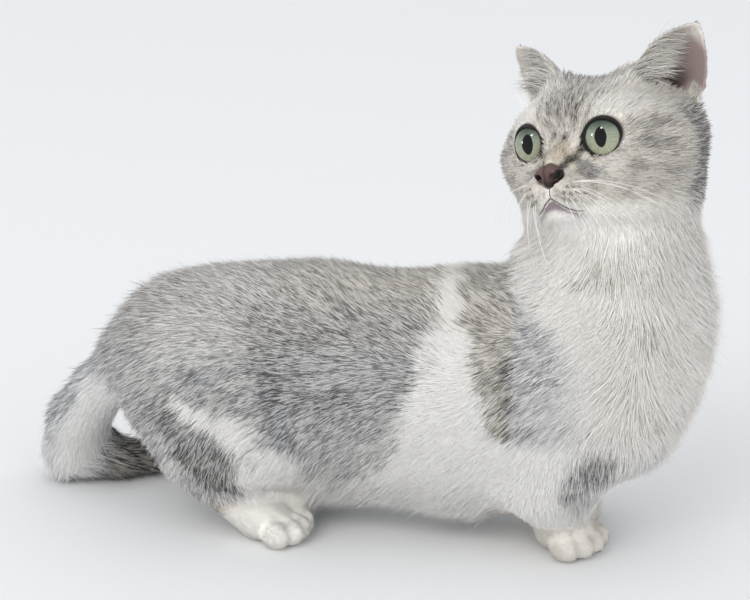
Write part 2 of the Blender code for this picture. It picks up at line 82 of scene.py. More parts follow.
VIEW_AZIMUTH, VIEW_RISE, VIEW_DISTANCE = math.radians(12), math.radians(18), 1.4
PICTURE_WIDE, PICTURE_HIGH, MM_PER_PIXEL = 750, 600, 0.56
TRUNK_PIXEL = (380, 523)
FILM_WIDE = 36
across = (PICTURE_WIDE / 2 - TRUNK_PIXEL[0]) * MM_PER_PIXEL * MM
upward = (TRUNK_PIXEL[1] - PICTURE_HIGH / 2) * MM_PER_PIXEL * MM
aim = TRUNK @ Vector((across * math.cos(VIEW_AZIMUTH), across * math.sin(VIEW_AZIMUTH),
                      upward / math.cos(VIEW_RISE)))
away = Vector((math.sin(VIEW_AZIMUTH) * math.cos(VIEW_RISE),
               -math.cos(VIEW_AZIMUTH) * math.cos(VIEW_RISE), math.sin(VIEW_RISE)))
camera = linked("camera", bpy.data.cameras.new("camera"))
camera.location = aim + away * VIEW_DISTANCE
camera.rotation_euler = away.to_track_quat("Z", "Y").to_euler()
camera.data.sensor_width = FILM_WIDE
camera.data.lens = FILM_WIDE * VIEW_DISTANCE / (PICTURE_WIDE * MM_PER_PIXEL * MM)
camera.data.clip_start = 0.05
bpy.context.scene.camera = camera

# Floor and light. A pale paper sweep lies under large soft lights, as in a photographer's studio:
# the key stands above and to the left of the camera, and white walls fill from all round.


def linear(hex_colour):
    """The linear colour of an sRGB hex value."""
    value = [int(hex_colour[i:i + 2], 16) / 255 for i in (1, 3, 5)]
    return np.array([c / 12.92 if c <= 0.04045 else ((c + 0.055) / 1.055) ** 2.4 for c in value])


def new_material(name, colour, roughness, **sockets):
    """A material, and its Principled shader with sockets set by name."""
    material = bpy.data.materials.new(name)
    material.use_nodes = True
    shader = material.node_tree.nodes["Principled BSDF"]
    shader.inputs["Base Color"].default_value = (*linear(colour), 1)
    shader.inputs["Roughness"].default_value = roughness
    for socket, value in sockets.items():
        shader.inputs[socket.replace("_", " ")].default_value = value
    return material, shader


def add_node(material, kind, settings=None, inputs=None, to=None):
    """A node with its settings, its inputs (values or sockets), and the sockets it feeds."""
    node = material.node_tree.nodes.new(kind)
    for key, value in (settings or {}).items():
        setattr(node, key, value)
    for key, value in (inputs or {}).items():
        if isinstance(value, bpy.types.NodeSocket):
            material.node_tree.links.new(value, node.inputs[key])
        else:
            node.inputs[key].default_value = value
    for key, socket in (to or {}).items():
        material.node_tree.links.new(node.outputs[key], socket)
    return node


def object_from(name, bm, material=None):
    """A linked object that takes over a bmesh."""
    mesh = bpy.data.meshes.new(name)
    bm.to_mesh(mesh)
    bm.free()
    if material:
        mesh.materials.append(material)
    return linked(name, mesh)


# Matt white card: it scatters all light and gives no glint, so only the cat's soft shadow shows
paper, _ = new_material("matt_paper_sweep", "#EAEBEC", 0.9)
SWEEP_HALF_WIDTH = 6
bm = bmesh.new()
bmesh.ops.create_grid(bm, x_segments=1, y_segments=1, size=SWEEP_HALF_WIDTH)
floor = object_from("floor", bm, paper)

world = bpy.data.worlds.new("studio")
bpy.context.scene.world = world
world.use_nodes = True
WALL_LIGHT = 1.02
walls = world.node_tree.nodes["Background"]
walls.inputs["Color"].default_value = (*linear("#ECEEF1"), 1)
walls.inputs["Strength"].default_value = WALL_LIGHT

# Each lamp is its place, its width and its watts. The two small ones only give glints, as in the
# eyes, and all of them face a point at the height of the cat's trunk.
LAMPS = {"key": ((-1.5, -4.5, 3.6), 3.6, 122), "fill": ((2.4, -2.1, 1.6), 2.4, 8),
         "window": ((-1.92, -0.45, 0.49), 0.30, 11), "skylight": ((-0.575, -0.77, 1.84), 0.34, 14)}
LIT_HEIGHT = 0.1
LAMP_COLOUR = linear("#FFFCF7")
for name, (place, size, watts) in LAMPS.items():
    lamp = linked(name, bpy.data.lights.new(name, "AREA"))
    lamp.data.size = size
    lamp.data.energy = watts
    lamp.data.color = LAMP_COLOUR
    lamp.location = place
    lamp.rotation_euler = (Vector(place) - Vector((0, 0, LIT_HEIGHT))).to_track_quat("Z", "Y").to_euler()
    lamp.visible_diffuse = name in ("key", "fill")
    lamp.visible_glossy = name != "key"

bpy.context.scene.view_settings.view_transform = "Standard"

# Skin. It is one closed hide over the whole body, drawn from the solids of flesh. It lies under
# the coat by the coat's depth, so that the fur's tips reach the solids' outline, and it keeps the
# toes, the cups of the ears, the lips and the lids.

FLESH = [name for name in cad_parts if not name.startswith(("eye_", "nose"))]
OVERLAP = 0.5
HIDE_GRAIN = 2.4
SIDES = {"left": 1, "right": -1}


def seen_from(place, points):
    """Points in metres as millimetres in a frame of the cat."""
    back = np.array(place.inverted())
    return (points @ back[:3, :3].T + back[:3, 3]) / MM


def placed(place, points):
    """Points in millimetres of a frame of the cat, in metres."""
    forth = np.array(place)
    return points * MM @ forth[:3, :3].T + forth[:3, 3]


def ramp(value, start, end):
    """0 before start, 1 after end, and smooth between them."""
    share = np.clip((value - start) / (end - start), 0, 1)
    return share * share * (3 - 2 * share)


def mixed(value, target, share):
    """A value drawn towards another by a share between 0 and 1."""
    return value + (target - value) * share


def folded(points):
    """Points laid over onto the cat's left side."""
    return np.stack([points[:, 0], np.abs(points[:, 1]), points[:, 2]], axis=1)


def near_line(points, start, end):
    """Distance to a straight piece of line, and how far along it the nearest point is."""
    start, end = np.array(start, float), np.array(end, float)
    along = end - start
    share = np.clip((points - start) @ along / (along @ along), 0, 1)
    return np.linalg.norm(points - start - share[:, None] * along, axis=1), share


def points_of(mesh):
    """A mesh's vertices as one array."""
    points = np.empty(len(mesh.vertices) * 3, np.float32)
    mesh.vertices.foreach_get("co", points)
    return points.reshape(-1, 3).astype(float)


def set_points(mesh, points):
    """Moves a mesh's vertices to the points."""
    mesh.vertices.foreach_set("co", points.astype(np.float32).ravel())
    mesh.update()


def normals_of(mesh):
    """The outward directions at a mesh's vertices."""
    normals = np.empty(len(mesh.vertices) * 3, np.float32)
    mesh.vertex_normals.foreach_get("vector", normals)
    return normals.reshape(-1, 3).astype(float)


def unit(vectors):
    """The same directions, one long."""
    return vectors / np.maximum(np.linalg.norm(vectors, axis=1), 1e-9)[:, None]


def relaxed(mesh, values, share, rounds):
    """Each vertex's values drawn towards its neighbours' mean, by a share that may differ."""
    edges = np.empty(len(mesh.edges) * 2, np.int32)
    mesh.edges.foreach_get("vertices", edges)
    a, b = edges.reshape(-1, 2).T
    count = np.bincount(a, minlength=len(values)) + np.bincount(b, minlength=len(values))
    for _ in range(rounds):
        mean = np.stack([
            np.bincount(a, values[b, i], len(values)) + np.bincount(b, values[a, i], len(values))
            for i in range(values.shape[1])], axis=1) / count[:, None]
        values = mixed(values, mean, share[:, None])
    return values


# Each ear in the head's frame: its tip, and the two ends of its root
EAR_TIP, EAR_INNER, EAR_OUTER = (np.array(p, float) for p in ((-22, 58, 54), (-9, 22, 31), (-25, 47, 6)))
EAR_ROOT = (EAR_INNER + EAR_OUTER) / 2
EAR_RISE, EAR_ACROSS = EAR_TIP - EAR_ROOT, EAR_OUTER - EAR_INNER
EAR_OPENS = np.cross(EAR_ACROSS, EAR_RISE) / np.linalg.norm(np.cross(EAR_ACROSS, EAR_RISE))


def ear_spot(head):
    """Place on the nearer ear: -1 to 1 from its inner to its outer edge, 0 to 1 from root to tip."""
    frame_of_ear = np.linalg.inv(np.stack([EAR_ACROSS / 2, EAR_RISE, EAR_OPENS], axis=1))
    return (folded(head) - EAR_ROOT) @ frame_of_ear.T


def ear_share(head):
    """1 on the ears, 0 on the rest, from points in the head's frame."""
    sided = folded(head)
    out = (sided - (-16, 35, 22)) @ np.array((-0.10, 0.60, 0.79))
    off, _ = near_line(sided, (-16, 35, 20), (-22, 56, 52))
    return ramp(np.where((off < 26) & (sided[:, 1] > 12), out, -9), -2, 5)


def face_share(head):
    """1 on the front of the head, 0 behind the ears and on the neck."""
    return ramp(head[:, 0], -14, 4) * ramp(head[:, 2], -46, -38)


def head_share(head):
    """1 on the head, 0 on the neck and trunk."""
    return ramp(head[:, 2], -52, -36) * (np.linalg.norm(head * (0.9, 0.9, 1), axis=1) < 90)


def limb_share(trunk):
    """1 on the legs below the body, more so towards the paws."""
    fore = (trunk[:, 0] > 75) * ramp(-trunk[:, 2], -62, -30)
    hind = ((trunk[:, 0] < -30) * (trunk[:, 0] > -132) * (np.abs(trunk[:, 1]) > 22)
            * ramp(-trunk[:, 2], -62, -38))
    return np.maximum(fore, hind)


def paw_share(trunk):
    """1 on the toes and the foot, 0 above the ankle."""
    return limb_share(trunk) * ramp(-trunk[:, 2], -30, -22)


def closely_drawn(points):
    """1 where the skin keeps small forms: the face, the ears and the paws."""
    head, trunk = seen_from(HEAD, points), seen_from(TRUNK, points)
    return np.maximum.reduce([ear_share(head), face_share(head) * head_share(head), paw_share(trunk)])


# The eyes in the head's frame: half their distance, the eyeball, the turn of the lids in degrees,
# and the half width and half height of the opening, whose tear corner lies at an angle from it
EYE_APART, EYE_RADIUS = 22.3, 11.3
LIDS_OUTWARD, LIDS_UPWARD = 11, 3
OPENING_WIDE, OPENING_HIGH = 9.9, 9.1
LID_THICK, LID_BAND = 0.8, 3
TEAR_CORNER = 2.75


def eye_place(side):
    """The eyeball's middle, with x out through the middle of its lids."""
    return (HEAD @ Matrix.Translation(Vector((EYE_FORWARD, EYE_APART * side, 0)) * MM)
            @ turned(LIDS_OUTWARD * side, "Z") @ turned(-LIDS_UPWARD, "Y"))


def eye_round(local):
    """How far out from the gaze a point of the eye's frame is: 1 at the edge of the lids."""
    return np.hypot(local[:, 1] / OPENING_WIDE, local[:, 2] / OPENING_HIGH)


def lid_edge(local, side):
    """How far out the bare black edge of the lids reaches, in the measure of eye_round."""
    angle = np.arctan2(local[:, 2], local[:, 1] * side)
    off_corner = (angle + TEAR_CORNER + math.pi) % (2 * math.pi) - math.pi
    corner = np.exp(-(off_corner / 0.5) ** 2)
    return 1.09 + 0.15 * np.clip(np.sin(angle + 0.35), 0, 1) + 0.46 * corner


def swollen_copy(node, by):
    """A node's mesh, merged and pushed outwards."""
    bm = bmesh.new()
    bm.from_mesh(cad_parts[node].data)
    bmesh.ops.remove_doubles(bm, verts=bm.verts, dist=1e-6)
    bm.normal_update()
    for vert in bm.verts:
        vert.co += vert.normal * by * MM
    mesh = bpy.data.meshes.new("copy")
    bm.to_mesh(mesh)
    bm.free()
    return mesh


def split_edges_where(mesh, test):
    """Each edge whose two ends pass the test is cut in two, and the faces with it."""
    wanted = test(points_of(mesh))
    bm = bmesh.new()
    bm.from_mesh(mesh)
    bm.verts.ensure_lookup_table()
    edges = [e for e in bm.edges if wanted[e.verts[0].index] and wanted[e.verts[1].index]]
    bmesh.ops.subdivide_edges(bm, edges=edges, cuts=1, use_grid_fill=True)
    bm.to_mesh(mesh)
    bm.free()


def around_eyes(points):
    """True on the lids and close by."""
    near = np.zeros(len(points), bool)
    for side in SIDES.values():
        local = seen_from(eye_place(side), points)
        near |= (np.linalg.norm(local, axis=1) < EYE_RADIUS + 5) & (local[:, 0] > -3)
    return near


# The solids are swollen until they join, and drawn over by one even net, finer where forms are small
bm = bmesh.new()
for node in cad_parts:
    if node != "nose":
        bm.from_mesh(swollen_copy(node, OVERLAP))
skin = object_from("skin", bm)
whole_shape = BVHTree.FromObject(skin, bpy.context.evaluated_depsgraph_get())
remesh = skin.modifiers.new("hide", "REMESH")
remesh.mode = "VOXEL"
remesh.voxel_size = HIDE_GRAIN * MM
skin.data = bpy.data.meshes.new_from_object(skin.evaluated_get(bpy.context.evaluated_depsgraph_get()))
skin.modifiers.clear()
split_edges_where(skin.data, lambda points: closely_drawn(points) > 0.5)
split_edges_where(skin.data, around_eyes)

# The net's steps are smoothed out, and the small forms are then laid back on the solids
SMOOTH_ROUNDS, BLEND_ROUNDS, PAW_ROUNDS = 14, 3, 6
points = points_of(skin.data)
points = relaxed(skin.data, points, 0.55 - 0.45 * closely_drawn(points), SMOOTH_ROUNDS)
close = closely_drawn(points) > 0.3
for i in np.flatnonzero(close):
    found = whole_shape.find_nearest(points[i])[0]
    if found is not None:
        points[i] = found
on_paw = paw_share(seen_from(TRUNK, points)) > 0.5
points = relaxed(skin.data, points, np.where(close, 0.25, 0.3), BLEND_ROUNDS)
points = relaxed(skin.data, points, np.where(on_paw, 0.5, 0.0), PAW_ROUNDS)
set_points(skin.data, points)

# The tail's middle line in the trunk's frame, from its root to its tip
TAIL = np.array([(-128, 0, 106), (-148, 2, 89), (-168, 8, 65), (-184, 15, 42), (-190, 22, 20),
                 (-168, 27, 13), (-153, 36, 10), (-137, 50, 8), (-119, 60, 7)], float)


def tail_place(trunk):
    """Offset from the tail's middle line, how far along it, and its heading there."""
    best, where = np.full(len(trunk), 1e9), np.zeros(len(trunk))
    heading, offset = np.zeros((len(trunk), 3)), np.zeros((len(trunk), 3))
    for i in range(len(TAIL) - 1):
        off, share = near_line(trunk, TAIL[i], TAIL[i + 1])
        step = TAIL[i + 1] - TAIL[i]
        closer = off < best
        best = np.where(closer, off, best)
        where = np.where(closer, i + share, where)
        heading[closer] = step / np.linalg.norm(step)
        offset[closer] = (trunk - TAIL[i] - share[:, None] * step)[closer]
    return offset, where, heading


def tail_share(trunk):
    """1 on the tail past its root."""
    offset, where, _ = tail_place(trunk)
    near = np.linalg.norm(offset, axis=1) < 30
    leg = (np.abs(trunk[:, 1]) > 22) & (trunk[:, 1] < 0)
    return near * ramp(where, 0.9, 1.6) * (trunk[:, 0] < -105) * ~leg


# How far the skin lies inside the solids, in millimetres. The breast's is added to the body's.
DEPTH = {"body": 3.0, "breast": 1.2, "leg": 1.8, "paw": 0.7, "tail": 3.2, "head": 2.0, "face": 0.9,
         "ear": 0.5}


def coat_depth(trunk, head):
    """How deep the coat is, in millimetres."""
    chest = ramp(trunk[:, 0], 90, 160) * ramp(trunk[:, 2], 40, 80)
    depth = DEPTH["body"] + DEPTH["breast"] * chest
    for name, share in (("leg", limb_share(trunk)), ("paw", paw_share(trunk)), ("tail", tail_share(trunk)),
                        ("head", head_share(head)), ("face", head_share(head) * face_share(head)),
                        ("ear", ear_share(head))):
        depth = mixed(depth, DEPTH[name], share)
    return depth


# The skin sinks by the coat's depth. Between the lids it falls back into the eyeball, and around
# the opening the lids stay out over the ball. The soles end a little above the floor.
SOLE = 0.6
BEHIND_BALL = 1.6
points = points_of(skin.data)
trunk, head = seen_from(TRUNK, points), seen_from(HEAD, points)
inward = -unit(relaxed(skin.data, normals_of(skin.data), np.full(len(points), 0.5), 2))
points += inward * (coat_depth(trunk, head) + OVERLAP)[:, None] * MM
for side in SIDES.values():
    local = seen_from(eye_place(side), points)
    reach = np.linalg.norm(local, axis=1)
    near = (reach < EYE_RADIUS + 4) & (local[:, 0] > -2)
    inside = near & (eye_round(local) < 1)
    lid = near & ~inside
    target = np.where(inside, EYE_RADIUS - BEHIND_BALL, np.maximum(reach, EYE_RADIUS + LID_THICK))
    local *= np.where(inside | lid, target / reach, 1)[:, None]
    points = np.where((inside | lid)[:, None], placed(eye_place(side), local), points)
points[:, 2] = np.maximum(points[:, 2], SOLE * MM)
set_points(skin.data, points)
skin.data.shade_smooth()
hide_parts(*FLESH)
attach(skin, "root")

# Markings. The coat is silver tabby and white: grey ticked hair over the back, hips and shoulders,
# white bands, chest and feet, and fine tabby lines on the face. Skin and hair take their colour
# from the same marks, which are places in millimetres with y counted outwards.

# Pigment is 0 in white hair, 1 in grey and 2 in nearly black. Warmth is 1 in tan hair and -1 in
# bluish hair.
PIGMENT_COLOURS = {0.0: "#F8F6F2", 0.3: "#DCDAD7", 0.7: "#B9B8B7", 1.0: "#9C9B9A", 1.4: "#706E6D",
                   1.8: "#464444", 2.2: "#282625"}
# The second ear colour is painted shade for the deep hollow of each ear's cup
EAR_PINK, EAR_HOLLOW_SHADE = linear("#9C8B88"), linear("#3A2A26")
LIP_MAUVE = linear("#8A7D84")
LID_BLACK, LID_OUTLINE_AND_SHADE = linear("#15100E"), linear("#6A625C")
POUCH_CREAM = linear("#DDD2C4")
LIP = [(46.5, 0, -28.5), (45.5, 4, -31.2), (43.5, 8, -34.5), (41, 12, -36.5), (38, 16, -37.3)]


def ripple(points, size, seed):
    """A soft, uneven field between about -1 and 1, with lumps of that size."""
    rng = np.random.default_rng(seed)
    total = np.zeros(len(points))
    for _ in range(7):
        way = rng.normal(size=3)
        way *= rng.uniform(0.6, 1.5) * 2 * math.pi / size / np.linalg.norm(way)
        total += np.sin(points @ way + rng.uniform(0, 2 * math.pi))
    return total / 2.6


def edge(height, places):
    """A mark's edge: its x at each height, from (height, x) pairs."""
    return np.interp(height, *zip(*places))


def blot(points, middle, radii):
    """1 inside an oval patch, 0 outside, soft at its edge."""
    off = np.linalg.norm((points - np.array(middle, float)) / np.array(radii, float), axis=1)
    return ramp(-off, -1.3, -0.7)


def stroke(points, start, end, half):
    """1 on a drawn line, 0 away from it, soft at its edge."""
    off, _ = near_line(points, start, end)
    return ramp(-off / half, -1.4, -0.6)


# Edges of the grey saddle and of the patch on the shoulder, as the edge's x at each height
SADDLE_EDGE = [(14, -95), (25, -40), (45, 5), (61, 22), (91, 31), (108, 35), (122, 41), (168, 43)]
PATCH_BACK = [(74, 74), (106, 72), (113, 66), (121, 62), (135, 60), (143, 53), (160, 50)]
PATCH_FRONT = [(76, 118), (90, 126), (103, 124), (131, 117), (140, 109), (149, 92), (156, 87), (180, 85)]
PATCH_FOOT = 79
# Each row is where the mark starts and ends, its half width, its pigment and its warmth
BODY_STROKES = [
    ((-87, 42, 146), (-66, 50, 128), 5, 1.2, 0.1),
    ((-66, 50, 128), (-54, 54, 112), 7, 1.4, 0.2),
    ((-54, 54, 112), (-47, 55, 90), 8, 1.4, 0.0),
    ((-47, 55, 90), (-40, 54, 60), 8, 1.3, -0.3),
    ((-124, 36, 144), (-100, 44, 148), 5, 1.15, 0.0),
    ((-122, 40, 92), (-86, 58, 98), 6, 0.95, -0.4),
    ((-128, 40, 84), (-104, 56, 78), 7, 0.95, -0.4),
    ((90, 34, 178), (82, 48, 140), 3.0, 1.5, 0.4),
    ((82, 48, 140), (81, 53, 122), 2.2, 1.7, 0.4),
    ((81, 53, 122), (84, 56, 100), 2.6, 1.9, 0.4),
    ((84, 56, 100), (85, 57, 80), 3.2, 2.1, 0.4),
    ((92.5, 43, 142.8), (101, 46, 147.5), 1.8, 1.5, -0.2),
    ((90, 48, 133), (111, 53, 140.5), 1.8, 1.2, -0.4),
    ((98, 54, 117.4), (113, 56, 128.3), 1.8, 1.1, -0.4),
    ((94, 56, 107), (110, 58, 114.6), 1.8, 1.3, -0.2),
    ((113, 58, 88), (123.4, 58, 92), 1.8, 1.2, 0.1),
    ((107.4, 57, 75.5), (126.3, 58, 85), 2.0, 1.2, 0.1),
    ((-104, 56, 76), (-76, 60, 42), 13, 1.25, 0.0),
    ((-98, 57, 54), (-78, 58, 36), 5, 1.7, 0.1),
    ((-76, 60, 62), (-68, 60, 46), 4, 1.6, 0.1),
]
# White marks of the haunch, without pigment or warmth
WHITE_STROKES = [
    ((-98, 60, 86), (-72, 60, 69), 3.8),
    ((-72, 60, 74), (-38, 56, 50), 8),
    ((-60, 58, 50), (-42, 52, 42), 10),
    ((-64, 58, 46), (-54, 58, 26), 9),
    ((-52, 56, 46), (-34, 54, 34), 9),
]
# Folds under the neck and at the breast, where the fur parts: painted shade, as grey lines in the white, by
# x and z
CREASES = [((120, 0, 172), (136, 0, 177)), ((138, 0, 180), (148, 0, 183)), ((127, 0, 182), (138, 0, 187)),
           ((155, 0, 152), (155, 0, 143)), ((157, 0, 93), (163, 0, 97))]
# Bars across the grey patch of the fore leg, by x and z
ARM_BARS = [((121, 0, 68), (140, 0, 71)), ((116, 0, 59), (134, 0, 62)), ((113, 0, 48), (129, 0, 53))]
# Lines of the forehead, the bridge of the nose, the corners of the eyes and the cheeks
HEAD_STROKES = [
    ((31.5, 7.5, 3), (29, 8.5, 14), 1.1, 1.9, 0.1),
    ((29, 8.5, 14), (16, 12, 26), 1.3, 1.7, 0.1),
    ((31, 2.3, 9), (24, 3, 20), 1.2, 1.9, 0.1),
    ((24, 3, 20), (8, 7, 32), 1.6, 1.6, 0.0),
    ((30.5, 5.2, 10), (20, 7, 22.5), 1.0, 1.7, 0.1),
    ((32.5, 1, 8.5), (32.8, 4, 2), 1.6, 1.6, 0.3),
    ((24, 0.5, 21), (14, 0.5, 29), 1.2, 1.5, 0.0),
    ((28, 15, 12), (18, 18, 23), 1.4, 0.95, 0.3),
    ((18, 18, 23), (2, 20, 32), 1.6, 0.9, 0.3),
    ((14, 4.5, 28), (-20, 6, 33), 2.6, 1.25, 0.0),
    ((8, 13, 31), (-22, 17, 33), 2.6, 1.1, 0.0),
    ((33, 12, -4), (38, 9, -9.5), 2.4, 2.0, 0.9),
    ((31, 13.5, -3), (35, 12.5, -8), 2.4, 2.2, 0.8),
    ((38, 9, -9.5), (42, 7, -11.5), 2.2, 1.7, 0.9),
    ((36, 14, -11), (35, 18, -17), 3.4, 1.1, 0.3),
    ((35, 17, -17), (31, 23, -16), 2.2, 0.8, 0.3),
    ((27, 34, 3), (19, 41, 5), 1.5, 1.6, 0.3),
    ((19, 41, 5), (8, 50, 4), 2.6, 1.15, 0.3),
    ((22, 40, -3), (12, 51, -7), 3.4, 0.95, 0.4),
    ((24, 36, -16), (15, 47, -18), 1.6, 1.05, 0.3),
    ((15, 47, -18), (2, 53, -21), 1.8, 0.95, 0.2),
    ((25, 35, -24), (8, 50, -29), 1.6, 0.65, 0.2),
    ((28, 32, 12), (14, 36, 17), 1.6, 0.55, 0.4),
]
# Rows of dark spots on the whisker pads, from which the whiskers grow
SPOT_ROWS = [((47, 12, -19.5), (43, 18.5, -19)), ((48, 11, -22.5), (42, 19.5, -23)),
             ((48.5, 9, -25.5), (42, 18.5, -27)), ((47.5, 8, -28.5), (42, 16.5, -31))]


def body_pigment(trunk, outward):
    """Pigment and warmth of the neck, trunk, legs and tail."""
    x, side, z = trunk[:, 0], np.abs(trunk[:, 1]), trunk[:, 2]
    sided, flat = folded(trunk), trunk * (1, 0, 1)
    wobble = 3.5 * ripple(trunk, 18, 3) + 1.8 * ripple(trunk, 7, 4)
    saddle = ramp(edge(z, SADDLE_EDGE) - x + wobble, -5, 5)
    belly = ramp(-z, -34, -18) * ramp(-side, -46, -28)
    pigment = (saddle * (1 - belly)) * (0.98 + 0.08 * ripple(trunk, 30, 5) + 0.16 * ripple(trunk, 11, 6))
    back = ramp(z, 128, 150)
    warmth = 0.5 * back * ramp(x, -80, 0) - 0.1 + 0.25 * ramp(z, 108, 130)
    pigment = pigment * (1 - 0.42 * back) * (1 + 0.10 * blot(sided, (-12, 54, 108), (44, 30, 26)))
    pigment = pigment * (1 - 0.22 * blot(sided, (-94, 50, 119), (30, 34, 14)))
    pigment = pigment * (1 - 0.30 * ramp(-x, 45, 80) * ramp(z, 70, 95)) * (1 - 0.34 * ramp(-z, -84, -62))
    patch = (ramp(x - edge(z, PATCH_BACK) + wobble, -3, 3) * ramp(edge(z, PATCH_FRONT) - x + wobble, -14, 5)
             * ramp(z - PATCH_FOOT + 0.5 * wobble, -4, 4))
    pale = 1 - 0.38 * ramp(x, 84, 92) - 0.3 * ramp(x, 96, 122)
    grey = 0.84 - 0.32 * ramp(z, 134, 156) + 0.2 * ripple(trunk, 9, 8)
    pigment = np.maximum(pigment, patch * pale * grey)
    warmth = np.where(patch > 0.5, np.where(x < 86, 0.55, -0.25), warmth)
    inked = np.maximum(saddle * (1 - belly), patch)
    for start, end, half, amount, warm in BODY_STROKES:
        broad = np.maximum(half + 0.4 * wobble, 0.6 * half)
        share = stroke(sided, start, end, broad) * np.maximum(inked, (z < 80) * (x < -60))
        pigment = mixed(pigment, np.maximum(pigment, amount), share)
        warmth = mixed(warmth, warm, share)
    bib = ramp(x, 108, 150) * ramp(z, 60, 90)
    pigment = np.maximum(pigment, 0.10 * bib * (1 + 0.5 * ripple(trunk, 16, 10)))
    warmth = mixed(warmth, 0.8, bib * (1 - patch))
    foot = ramp(-z, -34, -20) * ramp(x, -86, -70) * (x < 0)
    foot = np.maximum(foot, ramp(-z, -48, -34) * ramp(x, -74, -62) * (x < -20))
    for start, end, half in WHITE_STROKES:
        broad = np.maximum(half + 0.5 * wobble, 0.6 * half)
        foot = np.maximum(foot, stroke(sided, start, end, broad) * (side > 20))
    pigment = pigment * (1 - foot)
    arm = stroke(flat, (131, 0, 68), (120, 0, 47), 11 + 0.6 * wobble) * 0.5
    for start, end in ARM_BARS:
        arm = np.maximum(arm, stroke(flat, start, end, 2.4 + 0.15 * wobble) * 1.35)
    pigment = np.maximum(pigment, arm * ramp(side, 24, 36))
    # Painted shade in the folds of the white fur
    crease_shade = np.zeros(len(x))
    for start, end in CREASES:
        crease_shade = np.maximum(crease_shade, stroke(flat, start, end, 1.5) * 0.45)
    nape = ramp(-x, -118, -96) * ramp(z, 172, 190) * 0.3
    pigment = np.maximum(pigment, np.maximum(crease_shade, nape))
    paws = paw_share(trunk)
    cream = 0.02 + 0.18 * (x > 40)
    pigment = mixed(pigment, np.maximum(pigment, cream), paws)
    warmth = mixed(warmth, 1.0, paws)
    offset, where, heading = tail_place(trunk)
    tail = tail_share(trunk)
    outer = np.maximum(ramp(-offset[:, 0] - 0.4 * offset[:, 2], 4, 10), ramp(outward[:, 1], 0.3, 0.7))
    rings = 1.8 + 0.35 * np.sin(where * 2 * math.pi / 0.85)
    hanging = 0.75 * outer * ramp(-where, -4.6, -4.0) * (0.25 + 0.75 * ramp(z, 28, 58))
    tail_pigment = hanging + rings * ramp(where, 4.2, 5.0)
    pigment = mixed(pigment, tail_pigment, tail)
    warmth = mixed(warmth, 1.1 * ramp(where, 4.2, 5.0) - 0.6, tail)
    return pigment, warmth


def face_pigment(head):
    """Pigment and warmth of the head."""
    forward, side, up = head[:, 0], np.abs(head[:, 1]), head[:, 2]
    sided = folded(head)
    wobble = ripple(head, 9, 11)
    base = 0.60 - 0.42 * ramp(-up, 24, 44) - 0.34 * ramp(up, 4, 14) * ramp(side, 10, 15)
    forehead = blot(sided, (25, 0, 15), (13, 11, 15)) * 0.80
    crown = ramp(up, 22, 30) * ramp(-forward, -14, 4) * (0.72 - 0.3 * ramp(side, 10, 20))
    # The nape is grey tabby, and it is painted darker and bluer still, up to 1.5, as painted shade on the
    # side of the head turned from the light
    nape = ramp(-forward, -2, 12) * ramp(up, -44, -26) * ramp(-up, -18, -4)
    nape = nape * (1.5 - 0.5 * ramp(-forward, 20, 34))
    patch = blot(sided, (36, 17, -14), (7, 8, 7)) * 0.8
    below = blot(sided, (20, 38, -13), (14, 14, 12)) * 0.62
    bridge = blot(sided, (38, 4, -6), (7, 9, 8))
    muzzle = blot(sided, (45, 11, -23), (8, 9, 8)) * 0.5
    base = base - (base - muzzle) * blot(sided, (46, 9, -25), (8, 11, 8))
    pigment = np.maximum.reduce([base, forehead, crown, nape, patch, below, bridge * 0.75])
    white = blot(sided, (24, 31, 14), (10, 16, 7)) * 0.5
    white = np.maximum(white, stroke(sided, (33, 7.8, -3), (30.5, 9.8, 6), 1.4) * 0.8)
    white = np.maximum(white, ramp(-up, 30, 37) * ramp(forward, 10, 26))
    white = np.maximum(white, blot(sided, (28, 25, -13), (6, 11, 4)) * 0.5)
    pigment = pigment * (1 - white) * (1 + 0.20 * wobble + 0.12 * ripple(head, 4, 12))
    warmth = 0.75 + 0.6 * bridge - 0.4 * np.clip(nape, 0, 1) - 0.2 * crown + 0.35 * patch
    for start, end, half, amount, warm in HEAD_STROKES:
        share = stroke(sided, start, end, half * (1 + 0.25 * wobble))
        pigment = mixed(pigment, np.maximum(pigment, 1.15 * amount), share)
        warmth = mixed(warmth, warm, share)
    for start, end in SPOT_ROWS:
        off, along = near_line(sided, start, end)
        spots = ramp(-off, -1.3, -0.7) * ramp(np.sin(along * 2 * math.pi * 3.5), -0.1, 0.4)
        pigment = mixed(pigment, np.maximum(pigment, 1.7), spots)
    return pigment, warmth


def lower_lip_share(head):
    """1 on the mauve lower lip, just under the mouth's line."""
    side, up = np.abs(head[:, 1]), head[:, 2]
    line = np.interp(side, [p[1] for p in LIP], [p[2] for p in LIP])
    under = np.interp(side, (0, 4, 8, 12, 16), (-34.9, -35.7, -37.2, -38.3, -38.4))
    return (ramp(line - up, -0.2, 0.7) * ramp(up - under, -1.5, 1.5)
            * ramp(head[:, 0], 32, 36) * ramp(-side, -16, -13))


def ear_cup_share(head, outward):
    """1 on the side of each ear that opens forwards, where the skin is nearly bare."""
    facing = outward @ np.array(HEAD)[:3, :3]
    facing[:, 1] *= np.sign(head[:, 1])
    return ramp(facing @ EAR_OPENS, 0.1, 0.45) * ramp(ear_share(head), 0.2, 0.6)


def coat_marks(points, outward):
    """Pigment and warmth anywhere on the cat, from places and outward directions."""
    trunk, head = seen_from(TRUNK, points), seen_from(HEAD, points)
    share = head_share(head)
    body, body_warmth = body_pigment(trunk, outward)
    face, face_warmth = face_pigment(head)
    ear = ear_share(head)
    across_ear = ear_spot(head)[:, 0]
    furred = 0.60 + 0.15 * ripple(head, 12, 9) - 0.3 * ramp(across_ear, 0.2, 0.9)
    furred = furred - 0.32 * ear_cup_share(head, outward)
    face = mixed(face, furred, ear)
    return mixed(body, face, share), mixed(body_warmth, face_warmth, share)


